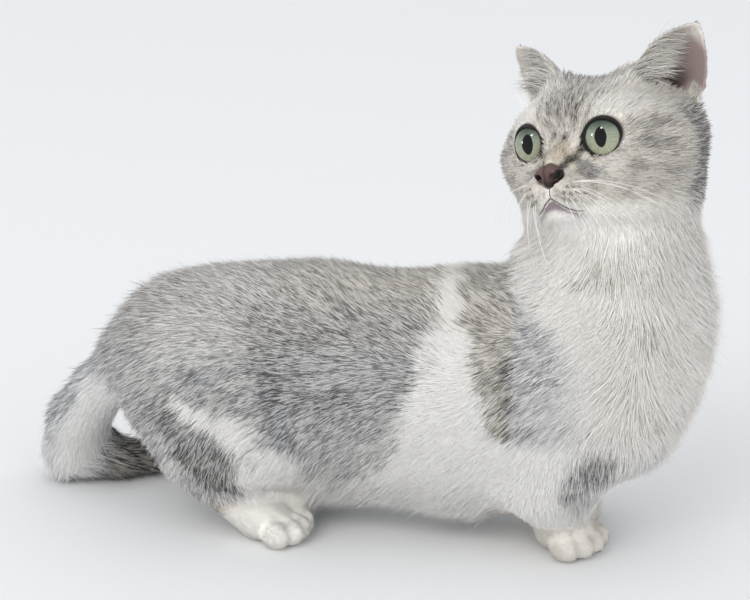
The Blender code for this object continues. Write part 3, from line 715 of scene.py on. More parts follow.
def coat_colour(pigment, warmth):
    """The linear colour of hair with that pigment and warmth."""
    levels = sorted(PIGMENT_COLOURS)
    table = np.array([linear(PIGMENT_COLOURS[level]) for level in levels])
    colour = np.stack([np.interp(pigment, levels, table[:, i]) for i in range(3)], axis=1)
    tint = np.array((0.10, 0.01, -0.13)) * np.clip(pigment * 1.5 + 0.15, 0, 1)[:, None]
    return np.clip(colour * (1 + tint * warmth[:, None]), 0.005, 0.95)


bpy.context.view_layer.objects.active = skin
skin.select_set(True)
bpy.ops.object.mode_set(mode="EDIT")
bpy.ops.mesh.select_all(action="SELECT")
bpy.ops.uv.smart_project(angle_limit=math.radians(66), island_margin=0.002)
bpy.ops.object.mode_set(mode="OBJECT")
skin.data.uv_layers[0].name = "OFBake"


def paint(mesh, colours):
    """Writes one linear colour for each vertex into the mesh's coat attribute."""
    layer = mesh.attributes.get("coat") or mesh.attributes.new("coat", "FLOAT_COLOR", "POINT")
    layer.data.foreach_set("color", np.c_[colours, np.ones(len(colours))].astype(np.float32).ravel())


points, outward = points_of(skin.data), normals_of(skin.data)
head = seen_from(HEAD, points)
pigment, warmth = coat_marks(points, outward)
# The skin under the tufts is painted a little darker than the hair, as painted shade under the coat
UNDERCOAT_PAINTED_SHADE = 0.97
colours = coat_colour(pigment, warmth) * UNDERCOAT_PAINTED_SHADE
spot = ear_spot(head)
cup = (ear_cup_share(head, outward) * ramp(-spot[:, 1], -0.92, -0.72))[:, None]
# Towards the root, deep in each ear's cup, the pink skin is painted dark brown as painted shade in the
# hollow
hollow_shade = ramp(-spot[:, 1], -0.5, -0.1) * ramp(-np.abs(spot[:, 0] + 0.05), -0.75, -0.2)
inner_skin = mixed(EAR_PINK, EAR_HOLLOW_SHADE, hollow_shade[:, None])
pouch = ramp(spot[:, 0], 0.35, 0.7) * ramp(-spot[:, 1], -0.4, -0.2)
inner_skin = mixed(inner_skin, POUCH_CREAM, pouch[:, None] * 0.8)
colours = mixed(colours, inner_skin, cup)
lip = lower_lip_share(head)[:, None]
colours = mixed(colours, LIP_MAUVE, lip)
for side in SIDES.values():
    local = seen_from(eye_place(side), points)
    on_lid = (local[:, 0] > -1) * (np.linalg.norm(local, axis=1) < EYE_RADIUS + LID_BAND)
    within = lid_edge(local, side) - eye_round(local)
    # Just outside the black lid edge the skin is painted darker: partly the lids' own dark outline, partly
    # painted shade over the bare skin at the roots of the coat
    colours = mixed(colours, LID_OUTLINE_AND_SHADE, 0.6 * (on_lid * ramp(within, -0.30, 0.0))[:, None])
    colours = mixed(colours, LID_BLACK, (on_lid * ramp(within, -0.06, 0.04))[:, None])
paint(skin.data, colours)

# The underfur is short, soft and matt: its bump reads as fine hair between the longer tufts
skin_material, shader = new_material("short_underfur_on_hide", "#BDBBBB", 0.85)
add_node(skin_material, "ShaderNodeAttribute", {"attribute_name": "coat"},
         to={"Color": shader.inputs["Base Color"]})
HAIR_CLUMP, CLUMP_DEPTH = 0.8, 0.3
place = add_node(skin_material, "ShaderNodeTexCoord")
grain = add_node(skin_material, "ShaderNodeTexNoise", inputs={
    "Vector": place.outputs["Object"], "Scale": 1 / (HAIR_CLUMP * MM), "Detail": 3.0})
add_node(skin_material, "ShaderNodeBump", inputs={
    "Strength": 0.5, "Distance": CLUMP_DEPTH * MM, "Height": grain.outputs["Fac"]},
    to={"Normal": shader.inputs["Normal"]})
skin.data.materials.append(skin_material)

# Lie of the coat. Hair leaves the nose in all directions over the head, runs back along the trunk
# and down the legs, and parts at the side of the chest. Each row of LIE is a place on the trunk
# (its y counted outwards) and the way the tips point there.

LIE = [
    ((-150, 0, 118), (-0.7, 0, -0.7)), ((-130, 0, 135), (-0.9, 0, -0.45)), ((-90, 0, 152), (-1, 0, -0.1)),
    ((-30, 0, 160), (-1, 0, 0)), ((30, 0, 158), (-1, 0, 0)), ((70, 0, 164), (-1, 0, -0.05)),
    ((-110, 35, 140), (-1, 0, -0.1)), ((-60, 35, 145), (-0.9, -0.2, 0.4)),
    ((-10, 35, 145), (-0.8, -0.3, 0.5)), ((45, 35, 145), (-0.76, -0.3, 0.6)),
    ((-140, 25, 110), (-0.78, 0, -0.63)), ((-110, 45, 125), (-0.89, 0, -0.45)),
    ((-80, 50, 125), (-1, 0, 0.0)), ((-30, 52, 125), (-0.97, 0, 0.2)), ((10, 52, 125), (-0.87, 0, 0.4)),
    ((42, 50, 125), (-0.76, 0, 0.6)), ((-145, 20, 95), (-0.67, 0, -0.74)),
    ((-110, 52, 100), (-0.8, 0, -0.6)), ((-80, 55, 100), (-0.87, 0, -0.5)), ((-40, 56, 100), (-1, 0, 0)),
    ((0, 56, 100), (-0.95, 0, -0.28)), ((35, 54, 100), (-1, 0, -0.05)),
    ((-108, 55, 78), (-0.83, 0, -0.56)), ((-40, 56, 72), (-0.8, 0, -0.6)),
    ((0, 55, 72), (-0.85, 0, -0.5)), ((42, 55, 72), (-0.78, 0, -0.63)), ((-40, 48, 42), (-0.7, 0, -0.7)),
    ((10, 46, 42), (-0.7, 0, -0.7)), ((60, 46, 45), (-0.7, 0, -0.7)), ((-40, 20, 12), (-0.9, 0.2, -0.3)),
    ((10, 20, 12), (-0.9, 0.2, -0.3)), ((60, 20, 14), (-0.9, 0.2, -0.3)),
    ((78, 42, 142), (-0.85, -0.2, 0.4)), ((78, 50, 120), (-0.8, 0, -0.55)),
    ((80, 54, 98), (-0.64, 0, -0.77)), ((108, 56, 135), (-0.8, 0, -0.58)),
    ((108, 60, 100), (-0.8, 0, -0.58)), ((130, 58, 110), (-0.74, 0, -0.67)),
    ((128, 56, 140), (-0.7, 0, -0.6)), ((165, 45, 120), (0.45, -0.4, -0.8)),
    ((165, 45, 85), (0.4, -0.3, -0.85)), ((185, 0, 130), (0.1, 0, -1)), ((182, 0, 95), (0.0, 0, -1)),
    ((160, 20, 55), (-0.3, 0, -1)), ((165, 35, 160), (0.4, -0.2, -0.8)), ((150, 45, 175), (0.2, 0, -1)),
    ((100, 35, 175), (-0.8, 0, -0.5)), ((92, 0, 185), (-0.5, 0, -0.85)), ((175, 0, 175), (0.2, 0, -1)),
    ((-105, 55, 60), (-0.5, 0, -0.85)), ((-85, 58, 50), (-0.3, 0, -0.95)),
    ((-100, 52, 34), (-0.2, 0, -1)), ((-75, 56, 24), (0.6, 0, -0.7)), ((-60, 55, 14), (0.9, 0.1, -0.25)),
    ((-40, 56, 8), (0.95, 0.1, -0.1)), ((120, 48, 60), (-0.1, 0, -1)), ((120, 48, 35), (0.0, 0, -1)),
    ((122, 48, 16), (0.6, 0.2, -0.6)), ((135, 50, 8), (0.8, 0.3, -0.25)),
]
NOSE_TIP = np.array((60.0, 0, -12))


def lie_of(points, outward):
    """The way the hair's tips point, along the skin, at places with their outward directions."""
    trunk, head = seen_from(TRUNK, points), seen_from(HEAD, points)
    way, total = np.zeros((len(points), 3)), np.zeros(len(points))
    for spot, heading in LIE:
        for flip in (1, -1):
            gap = trunk - np.array(spot, float) * (1, flip, 1)
            weight = 1 / (np.sum(gap * gap, axis=1) + 60) ** 2
            way += weight[:, None] * np.array(heading, float) * (1, flip, 1)
            total += weight
    way = unit(way / total[:, None])
    _, _, heading = tail_place(trunk)
    way = mixed(way, heading, tail_share(trunk)[:, None])
    from_nose = unit(head - NOSE_TIP)
    down = ramp(-head[:, 2], 22, 48)[:, None]
    from_nose = unit(from_nose * (1 - 0.7 * down) + np.array((-0.3, 0, -0.9)) * 0.7 * down)
    ears = ear_share(head)[:, None]
    mirror = np.stack([np.ones(len(head)), np.sign(head[:, 1]), np.ones(len(head))], axis=1)
    cupped = ear_cup_share(head, outward)[:, None]
    tipwards = unit(unit(EAR_RISE[None]) + cupped * 0.6 * unit(EAR_ACROSS[None])) * mirror
    from_nose = unit(from_nose * (1 - ears) + tipwards * ears)
    turn = np.array(HEAD)[:3, :3]
    way = mixed(way, from_nose @ turn.T, head_share(head)[:, None])
    way += 0.06 * np.stack([ripple(trunk, 14, seed) for seed in (21, 22, 23)], axis=1)
    return unit(way - np.sum(way * outward, axis=1)[:, None] * outward)


# Coat. The hair is drawn as thin tufts, each a closed spike with three corners at its root and one
# at its tip. They overlap along the lie, neighbours lean together, and each has its own shade.

TUFTS = 365000
TUFT_FACES = np.array([(0, 1, 3), (1, 2, 3), (2, 0, 3), (0, 2, 1)])
MOST_TRIANGLES = 196000
UV_PATCH = 0.003
NOSE_MIDDLE = (46.5, 0, -17.5)


def withers_share(trunk):
    """1 on the crest of the shoulders, where the hair stands up against the neck."""
    return ramp(trunk[:, 0], 50, 80) * ramp(-trunk[:, 0], -108, -98) * ramp(trunk[:, 2], 146, 160)


# Lengths in millimetres. The second row is added: on the body, away from the nose, and in the ear.
HAIR = {"body": 6.6, "leg": 5.5, "paw": 2.8, "tail": 10.0, "nose": 1.8, "ear": 2.4,
        "withers": 4.0, "breast": 4.5, "rump": 3.0, "belly": 5, "cheek": 5.6, "cup": 2.0}


def tuft_length(trunk, head, outward):
    """Hair length in millimetres."""
    length = HAIR["body"] + HAIR["withers"] * withers_share(trunk)
    length = length + HAIR["breast"] * ramp(trunk[:, 0], 95, 150) * ramp(trunk[:, 2], 35, 60)
    length = length + HAIR["rump"] * ramp(-trunk[:, 0], 100, 125) * ramp(trunk[:, 2], 85, 100)
    length = length + HAIR["belly"] * ramp(-trunk[:, 2], -48, -26) * (1 - limb_share(trunk))
    for name, share in (("leg", limb_share(trunk)), ("paw", paw_share(trunk)), ("tail", tail_share(trunk))):
        length = mixed(length, HAIR[name], share)
    nose_gap = np.linalg.norm(head - NOSE_MIDDLE, axis=1)
    length = mixed(length, HAIR["nose"] + HAIR["cheek"] * ramp(nose_gap, 8, 66), head_share(head))
    length = length - 0.9 * lower_lip_share(head)
    cupped = ear_cup_share(head, outward)
    tip = ramp(ear_spot(head)[:, 1], 0.6, 0.9)
    return mixed(length, HAIR["ear"] - 0.7 * tip + HAIR["cup"] * cupped * (1 - tip), ear_share(head))


def tuft_lift(trunk, head):
    """How steeply the hair leaves the skin: the sine of the angle."""
    lift = 0.25 + 0.16 * ramp(trunk[:, 2], 120, 155) * ramp(-trunk[:, 0], -100, -80)
    lift = lift + 0.3 * withers_share(trunk) - 0.05 * ramp(trunk[:, 0], 90, 120)
    lift = lift + (0.28 + 0.27 * ramp(-trunk[:, 2], -85, -65)) * ramp(trunk[:, 0], 142, 168)
    lift = lift + 0.14 * ramp(-trunk[:, 0], 105, 130)
    lift = lift + 0.26 * ramp(-trunk[:, 2], -46, -30)
    lift = mixed(lift, 0.26, limb_share(trunk))
    lift = mixed(lift, 0.2, paw_share(trunk))
    lift = mixed(lift, 0.32, tail_share(trunk))
    return mixed(lift, 0.24 + 0.12 * ramp(-head[:, 0], -20, 10), head_share(head))


def tuft_density(trunk, head, outward):
    """How close the tufts stand, with 1 on the flank."""
    density = 1 + 0.2 * limb_share(trunk) + 1.2 * paw_share(trunk) + 0.1 * tail_share(trunk)
    density *= 1 - 0.4 * ramp(-outward[:, 2], 0.5, 0.9) * (trunk[:, 2] < 40)
    nose_gap = np.linalg.norm(head - NOSE_MIDDLE, axis=1)
    density = mixed(density, 1.35 + 2.2 * ramp(-nose_gap, -50, -10), head_share(head))
    density = mixed(density, 1.5, ear_share(head))
    spot = ear_spot(head)
    furred_cup = (spot[:, 0] < -0.7 - 0.1 * spot[:, 1]) | ((spot[:, 0] > 0.55) & (spot[:, 1] < 0.3))
    furred_cup |= (spot[:, 1] > 0.84) | (-spot[:, 0] > 0.84 * (1 - spot[:, 1]))
    furred_cup |= (head[:, 1] < 0) & (spot[:, 0] > 0.0)
    bare = (ear_cup_share(head, outward) > 0.3) & ~furred_cup
    bare |= (trunk[:, 2] < 1.6) & (outward[:, 2] < -0.6)
    bare |= np.linalg.norm((head - NOSE_MIDDLE) / (6, 8.0, 6.0), axis=1) < 1
    return np.where(bare, 0, density)


mesh = skin.data
mesh.calc_loop_triangles()
corner_verts = np.empty(len(mesh.loop_triangles) * 3, np.int32)
corner_loops = np.empty(len(mesh.loop_triangles) * 3, np.int32)
mesh.loop_triangles.foreach_get("vertices", corner_verts)
mesh.loop_triangles.foreach_get("loops", corner_loops)
corner_verts, corner_loops = corner_verts.reshape(-1, 3), corner_loops.reshape(-1, 3)
skin_points, skin_normals = points_of(mesh), normals_of(mesh)
skin_uv = np.empty(len(mesh.loops) * 2, np.float32)
mesh.uv_layers["OFBake"].data.foreach_get("uv", skin_uv)
skin_uv = skin_uv.reshape(-1, 2)
a, b, c = (skin_points[corner_verts[:, i]] for i in range(3))
area = np.linalg.norm(np.cross(b - a, c - a), axis=1) / 2
middle = (a + b + c) / 3
facing = unit(np.cross(b - a, c - a))
rng = np.random.default_rng(7)


def scattered(density, count):
    """Random places on the skin: the points, the outward directions and the places on its unwrap."""
    weight = area * density
    chosen = rng.choice(len(weight), count, p=weight / weight.sum())
    u, v = rng.random(count), rng.random(count)
    over = u + v > 1
    u, v = np.where(over, 1 - u, u), np.where(over, 1 - v, v)
    share = np.stack([1 - u - v, u, v], axis=1)
    return (np.einsum("ij,ijk->ik", share, skin_points[corner_verts[chosen]]),
            unit(np.einsum("ij,ijk->ik", share, skin_normals[corner_verts[chosen]])),
            np.einsum("ij,ijk->ik", share, skin_uv[corner_loops[chosen]]))


density = tuft_density(seen_from(TRUNK, middle), seen_from(HEAD, middle), facing)
for side in SIDES.values():
    local = seen_from(eye_place(side), middle)
    on_lid = (np.linalg.norm(local, axis=1) < EYE_RADIUS + LID_BAND) & (local[:, 0] > 0)
    density[on_lid & (eye_round(local) < lid_edge(local, side))] = 0
root, out, root_uv = scattered(density, TUFTS)
trunk, head = seen_from(TRUNK, root), seen_from(HEAD, root)
lie = lie_of(root, out)
beside = np.cross(out, lie)
lie = unit(lie + beside * rng.normal(0, 0.15, TUFTS)[:, None])
beside = np.cross(out, lie)
length = tuft_length(trunk, head, out) * rng.uniform(0.65, 1.25, TUFTS)
lift = tuft_lift(trunk, head) * rng.uniform(0.6, 1.35, TUFTS)
# A few hairs stray from the lie and soften the outline. Longer tufts are broader at the root.
STRAYS = 0.07
TUFT_WIDTH, WIDTH_PER_LENGTH, ROOT_DEPTH = 0.30, 0.026, 0.3
width = (TUFT_WIDTH + WIDTH_PER_LENGTH * length) * rng.uniform(0.8, 1.2, TUFTS)
# Ticked hair: most hairs are pale with some grey, and broader tufts among them have dark tips
DARK_HAIRS = 0.27
dark = rng.random(TUFTS) < DARK_HAIRS
# A hair takes its colour from a little off its root, which frays the edges of the markings
FRAY = 1.5
jitter = rng.normal(0, FRAY, (TUFTS, 3)) * MM * (np.clip(length / 8, 0.15, 1) ** 1.6)[:, None]
pigment, warmth = coat_marks(root + jitter, out)
greyness = np.clip(pigment, 0, 1)
on_body = 1 - head_share(head) * np.maximum(face_share(head), ear_share(head))
width = width * (1 + dark * greyness * (0.3 + 0.55 * on_body) + 0.12 * on_body)
lift = lift * (0.82 + 0.18 * greyness + 0.2 * dark * greyness)
stray = (rng.random(TUFTS) < STRAYS * (0.12 + 0.88 * greyness)) * (1 - paw_share(trunk))
stray = stray * (1 - 0.75 * head_share(head)) * (1 - ear_share(head))
# White fur of the trunk and legs is longer and looser than the grey
fluffy = (1 - greyness) * (1 - head_share(head)) * (1 - paw_share(trunk)) * (1 - tail_share(trunk))
lift = np.clip(lift * (1 + 0.25 * fluffy) + 0.25 * stray, 0.04, 0.75)
length = length * (1 + 0.30 * fluffy)
length = length * (1 + 0.3 * stray)

# Neighbours lean towards one tip, by a share that is larger in grey fur and a few millimetres at most
CLUMP = 5
LEAN_WHITE, LEAN_GREY, LEAN_MOST = 0.10, 0.20, 3
leaders = rng.choice(TUFTS, TUFTS // CLUMP, replace=False)
tree = KDTree(len(leaders))
for i, leader in enumerate(leaders):
    tree.insert(root[leader], i)
tree.balance()
leader = leaders[[tree.find(p)[1] for p in root]]

start = root - out * ROOT_DEPTH * MM
tip = root + (lie * np.sqrt(1 - lift ** 2)[:, None] + out * lift[:, None]) * length[:, None] * MM
shift = (tip[leader] - tip) * mixed(LEAN_WHITE, LEAN_GREY, greyness)[:, None]
shift *= np.minimum(1, LEAN_MOST * MM / np.maximum(np.linalg.norm(shift, axis=1), 1e-9))[:, None]
tip = tip + shift
half = beside * (width / 2)[:, None] * MM
ridge = out * (width * 0.18)[:, None] * MM
blade = np.stack([start - half, start + half, start + ridge, tip], axis=1)
FLOOR_GAP = 0.2
blade[:, :, 2] = np.maximum(blade[:, :, 2], FLOOR_GAP * MM)
# Shading follows the coat as a whole, with only some of each tuft's own roundness
ROUND_WHITE, ROUND_GREY = 0.15, 0.36
round_way = np.stack([-beside, beside, out, 0.5 * lie], axis=1)
roundness = mixed(ROUND_WHITE, ROUND_GREY, greyness)
blade_normal = out[:, None] + roundness[:, None, None] * round_way
# Tips are darker than roots in grey fur, most of all in the dark hairs
clump_shade, own_shade = rng.normal(0, 1, TUFTS)[leader], rng.normal(0, 1, TUFTS)
ticking = 1 - 0.45 * face_share(head) * head_share(head) * ramp(-head[:, 2], -16, 0)
ticking = ticking * (1 - 0.5 * ear_share(head))
ticked = 1.05 * ramp(pigment, 0.12, 0.55) * ticking * (1 + 0.7 * ramp(trunk[:, 2], 128, 150) * on_body)
root_pigment = pigment * np.where(dark, 0.95, 0.62 - 0.17 * ticking)
tip_pigment = np.where(dark, 0.98 * pigment + ticked, pigment * (0.90 - 0.42 * ticking))
tip_pigment += pigment * (0.10 * own_shade + 0.08 * clump_shade)
tip_pigment = np.clip(tip_pigment, 0, 2.3)
glow = (1 + 0.03 * fluffy + 0.02 * own_shade + 0.012 * clump_shade)[:, None]
root_colour = coat_colour(root_pigment, warmth) * glow
tip_colour = coat_colour(tip_pigment, warmth) * glow
lip = lower_lip_share(head)[:, None]
root_colour = mixed(root_colour, LIP_MAUVE, lip)
tip_colour = mixed(tip_colour, LIP_MAUVE, lip * 0.85)
blade_colour = np.stack([root_colour, root_colour, root_colour, tip_colour], axis=1)
PATCH = np.array([(-0.5, -0.5), (0.5, -0.5), (0, 0), (0, 0.5)]) * UV_PATCH
blade_uv = np.clip(root_uv[:, None] + PATCH, 0, 1)

# Each piece of the coat covers one solid of flesh, so that it can be told by name
NEAR_SOLID = 8
node_of_tuft = np.zeros(TUFTS, int)
nearest = np.full(TUFTS, 1e9)
for index, node in enumerate(FLESH):
    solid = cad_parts[node].data
    shape = BVHTree.FromPolygons([v.co for v in solid.vertices], [p.vertices for p in solid.polygons])
    low, high = (np.array(corner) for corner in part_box(node))
    inside = np.all((root > low - NEAR_SOLID * MM) & (root < high + NEAR_SOLID * MM), axis=1)
    for i in np.flatnonzero(inside):
        gap = shape.find_nearest(root[i])[3]
        if gap < nearest[i]:
            nearest[i], node_of_tuft[i] = gap, index

# Guard hair is a little glossier than the underfur, with fine shade changes along each tuft
hair_material, shader = new_material("silver_guard_hair", "#C8C6C4", 0.65, Sheen_Weight=0.12,
                                     Sheen_Roughness=0.5, Specular_IOR_Level=0.25)
SHADE_STREAK = 0.9
marks = add_node(hair_material, "ShaderNodeAttribute", {"attribute_name": "coat"})
place = add_node(hair_material, "ShaderNodeTexCoord")
streak = add_node(hair_material, "ShaderNodeTexNoise", inputs={
    "Vector": place.outputs["Object"], "Scale": 1 / (SHADE_STREAK * MM), "Detail": 2.0})
shade = add_node(hair_material, "ShaderNodeMapRange", inputs={
    "Value": streak.outputs["Fac"], "From Min": 0.3, "From Max": 0.7, "To Min": 0.93, "To Max": 1.05})
add_node(hair_material, "ShaderNodeVectorMath", {"operation": "SCALE"}, {
    "Vector": marks.outputs["Color"], "Scale": shade.outputs["Result"]},
    to={"Vector": shader.inputs["Base Color"]})


def hair_object(name, corners, normals, colours, uvs, template):
    """One coat piece: for each hair, the corners and their looks, joined by the same few faces."""
    count, per_hair = corners.shape[:2]
    mesh = bpy.data.meshes.new(name)
    mesh.vertices.add(count * per_hair)
    mesh.vertices.foreach_set("co", corners.astype(np.float32).ravel())
    faces = template.ravel()[None] + per_hair * np.arange(count)[:, None]
    mesh.loops.add(faces.size)
    mesh.loops.foreach_set("vertex_index", faces.astype(np.int32).ravel())
    mesh.polygons.add(faces.size // 3)
    mesh.polygons.foreach_set("loop_start", np.arange(0, faces.size, 3, dtype=np.int32))
    mesh.update(calc_edges=True)
    mesh.shade_smooth()
    layer = mesh.attributes.new("custom_normal", "FLOAT_VECTOR", "POINT")
    layer.data.foreach_set("vector", unit(normals.reshape(-1, 3)).astype(np.float32).ravel())
    layer = mesh.uv_layers.new(name="OFBake")
    layer.data.foreach_set("uv", uvs[:, template.ravel()].astype(np.float32).ravel())
    paint(mesh, colours.reshape(-1, 3))
    mesh.materials.append(hair_material)
    piece = linked(name, mesh)
    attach(piece, "root")


# A solid's tufts are one piece, or more where one would hold more than MOST_TRIANGLES triangles
most = MOST_TRIANGLES // len(TUFT_FACES)
for index, node in enumerate(FLESH):
    of_node = np.flatnonzero(node_of_tuft == index)
    across_node = head[of_node, 1] if node == "head" else trunk[of_node, 1]
    groups = {"": of_node}
    if len(of_node) > most:
        groups = {"_left": of_node[across_node > 0], "_right": of_node[across_node <= 0]}
    for ending, chosen in groups.items():
        for part in range(0, len(chosen), most):
            number = f"_{part // most + 1}" if len(chosen) > most else ""
            some = chosen[part:part + most]
            hair_object(f"coat_{node}{ending}{number}", blade[some], blade_normal[some],
                        blade_colour[some], blade_uv[some], TUFT_FACES)

# Long hair of the ears. Pale, soft hairs rise from the front edge and the floor of each cup and
# sweep across it, as thin closed tubes that taper to a point.

EAR_HAIRS = 700
EAR_HAIR_LENGTHS, EAR_HAIR_WIDTHS = (13, 26), (0.30, 0.45)
HAIR_STEPS = 5
LONG_HAIR_FACES = np.array(
    [(0, 2, 1)]
    + [(3 * k + i, 3 * k + (i + 1) % 3, 3 * k + 3 + i) for k in range(HAIR_STEPS - 1) for i in range(3)]
    + [(3 * k + (i + 1) % 3, 3 * k + 3 + (i + 1) % 3, 3 * k + 3 + i)
       for k in range(HAIR_STEPS - 1) for i in range(3)]
    + [(3 * HAIR_STEPS - 3 + i, 3 * HAIR_STEPS - 3 + (i + 1) % 3, 3 * HAIR_STEPS) for i in range(3)])


def long_hairs(name, root, out, root_uv, way, bend, length, width, colour):
    """Hairs that leave the skin one way and bend towards another over their length."""
    rings, normals = [], []
    place = root - out * ROOT_DEPTH * MM
    for k in range(HAIR_STEPS):
        heading = unit(way + bend * (k / HAIR_STEPS))
        beside = unit(np.cross(out, heading))
        over = np.cross(heading, beside)
        half = (width * (1 - k / HAIR_STEPS) ** 0.6 / 2)[:, None] * MM
        rings += [place - beside * half, place + beside * half, place + over * half * 0.6]
        normals += [out - 0.3 * beside, out + 0.3 * beside, out]
        place = place + heading * (length / HAIR_STEPS)[:, None] * MM
    corners = np.stack([*rings, place], axis=1)
    share = np.linspace(-0.5, 0.5, corners.shape[1])[:, None] * UV_PATCH
    shades = colour[:, None] * np.linspace(0.9, 1.0, corners.shape[1])[None, :, None]
    hair_object(name, corners, np.stack([*normals, out], axis=1), shades,
                np.clip(root_uv[:, None] + share, 0, 1), LONG_HAIR_FACES)


for name, side in SIDES.items():
    head_middle = seen_from(HEAD, middle)
    spot = ear_spot(head_middle)
    cup = ear_cup_share(head_middle, facing) > 0.3
    on_front = cup & (spot[:, 0] < -0.5) & (spot[:, 1] > -0.1) & (spot[:, 1] < 0.6)
    on_floor = cup & (spot[:, 1] < 0.0) & (spot[:, 0] < -0.2)
    wanted = (on_front | on_floor) & (head_middle[:, 1] * side > 0)
    root, out, root_uv = scattered(wanted.astype(float), EAR_HAIRS)
    spot = ear_spot(seen_from(HEAD, root))
    mirror = np.array((1, side, 1))
    rise, over, open_way = (unit(v[None])[0] * mirror @ np.array(HEAD)[:3, :3].T
                            for v in (EAR_RISE, EAR_ACROSS, EAR_OPENS))
    stray = rng.normal(0, 0.16, (EAR_HAIRS, 3))
    way = rise * 0.9 + over * 0.35 + open_way * 0.45 + stray
    bend = over * 1.1 - open_way * 0.45 - rise * 0.25 + 0.5 * stray
    length = rng.uniform(*EAR_HAIR_LENGTHS, EAR_HAIRS) * (1 - 0.45 * np.clip(spot[:, 1], 0, 1))
    shade = coat_colour(rng.uniform(0.05, 0.75, EAR_HAIRS), np.full(EAR_HAIRS, 0.5))
    long_hairs(f"coat_ear_furnishing_{name}", root, out, root_uv, way, bend, length,
               rng.uniform(*EAR_HAIR_WIDTHS, EAR_HAIRS), shade)

# Eyes. Each eyeball is moist and glassy: a clear cornea over a grey-green iris, with painted light that
# makes it paler below and a painted shadow of the lid over its top, and an upright oval pupil. It is set in
# the skull behind the lids, and both look to the cat's left.

PUPIL_WIDE, PUPIL_HIGH = 3.3, 5.4
GAZE_LEFTWARD, GAZE_APART = 13, 4


def eye_material():
    """A wet cornea that mirrors the window, over iris fibres, a dark rim and a black pupil.

    Iris and pupil are drawn from the eye's own map, whose middle is the gaze.
    """
    material, shader = new_material("moist_cornea_over_iris", "#8DA293", 0.35, Coat_Weight=1.0,
                                    Coat_Roughness=0.02, Coat_IOR=1.34, Specular_IOR_Level=0.0)
    own = add_node(material, "ShaderNodeUVMap", {"uv_map": "gaze"})
    part = add_node(material, "ShaderNodeSeparateXYZ", inputs={"Vector": own.outputs["UV"]})
    # Each row is a value's name, how it is worked out, and from what
    sums = {"x": part.outputs["X"], "y": part.outputs["Y"]}
    for name, kind, first, second in (
            ("xx", "MULTIPLY", "x", "x"), ("yy", "MULTIPLY", "y", "y"), ("square", "ADD", "xx", "yy"),
            ("out", "SQRT", "square", 0), ("turn", "ARCTAN2", "y", "x"),
            ("fibre_turn", "MULTIPLY", "turn", 9.0), ("fibre_out", "MULTIPLY", "out", 2.5),
            ("wide", "MULTIPLY", "x", EYE_RADIUS / PUPIL_WIDE), ("wide", "ABSOLUTE", "wide", 0),
            ("wide", "POWER", "wide", 2.0),
            ("high", "MULTIPLY", "y", EYE_RADIUS / PUPIL_HIGH), ("high", "ABSOLUTE", "high", 0),
            ("high", "POWER", "high", 1.6), ("from_pupil", "ADD", "wide", "high")):
        sum_node = add_node(material, "ShaderNodeMath", {"operation": kind},
                            {0: sums.get(first, first), 1: sums.get(second, second)})
        sums[name] = sum_node.outputs["Value"]
    ray = add_node(material, "ShaderNodeCombineXYZ", inputs={
        "X": sums["fibre_turn"], "Y": sums["fibre_out"]})
    fibres = add_node(material, "ShaderNodeTexNoise", inputs={
        "Vector": ray.outputs["Vector"], "Scale": 1.0, "Detail": 4.0})
    # Painted light: the iris is paler in its lower half and darker in its upper
    height = add_node(material, "ShaderNodeMapRange", inputs={
        "Value": sums["y"], "From Min": -0.6, "From Max": 0.7})
    iris = add_node(material, "ShaderNodeMix", {"data_type": "RGBA"}, {
        "Factor": height.outputs["Result"], 6: (*linear("#A9AC93"), 1), 7: (*linear("#748477"), 1)})
    shade = add_node(material, "ShaderNodeMapRange", inputs={
        "Value": fibres.outputs["Fac"], "From Min": 0.3, "From Max": 0.7, "To Min": 0.78, "To Max": 1.16})
    # Painted shadow of the upper lid over the top of the iris
    lid_shadow = add_node(material, "ShaderNodeMapRange", {"interpolation_type": "SMOOTHSTEP"}, {
        "Value": sums["y"], "From Min": 0.15, "From Max": 0.8, "To Min": 1.0, "To Max": 0.22})
    light = add_node(material, "ShaderNodeMath", {"operation": "MULTIPLY"}, {
        0: shade.outputs["Result"], 1: lid_shadow.outputs["Result"]})
    lit = add_node(material, "ShaderNodeVectorMath", {"operation": "SCALE"}, {
        "Vector": iris.outputs[2], "Scale": light.outputs["Value"]})
    limbus = add_node(material, "ShaderNodeMapRange", {"interpolation_type": "SMOOTHSTEP"}, {
        "Value": sums["out"], "From Min": 0.76, "From Max": 0.88})
    edged = add_node(material, "ShaderNodeMix", {"data_type": "RGBA"}, {
        "Factor": limbus.outputs["Result"], 6: lit.outputs["Vector"], 7: (*linear("#2C312C"), 1)})
    pupil = add_node(material, "ShaderNodeMapRange", {"interpolation_type": "SMOOTHSTEP"}, {
        "Value": sums["from_pupil"], "From Min": 1.12, "From Max": 0.92})
    add_node(material, "ShaderNodeMix", {"data_type": "RGBA"}, {
        "Factor": pupil.outputs["Result"], 6: edged.outputs[2], 7: (*linear("#070707"), 1)},
        to={2: shader.inputs["Base Color"]})
    return material


eye_look = eye_material()
for name, side in SIDES.items():
    bm = bmesh.new()
    bmesh.ops.create_uvsphere(bm, u_segments=64, v_segments=40, radius=EYE_RADIUS * MM,
                              matrix=turned(90, "Y"))
    gaze = bm.loops.layers.uv.new("gaze")
    for face in bm.faces:
        face.smooth = True
        for loop in face.loops:
            loop[gaze].uv = (loop.vert.co.y / (EYE_RADIUS * MM), loop.vert.co.z / (EYE_RADIUS * MM))
    gaze_turn = GAZE_LEFTWARD + GAZE_APART * side - LIDS_OUTWARD * side
    bmesh.ops.transform(bm, matrix=eye_place(side) @ turned(gaze_turn, "Z"), verts=bm.verts)
    eyeball = object_from(f"eyeball_{name}", bm, eye_look)
    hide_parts(f"eye_{name}")
    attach(eyeball, "root")

# Lids. Each eye is rimmed by a moist black edge of bare skin, thicker above, that runs down to the
# tear corner beside the nose.


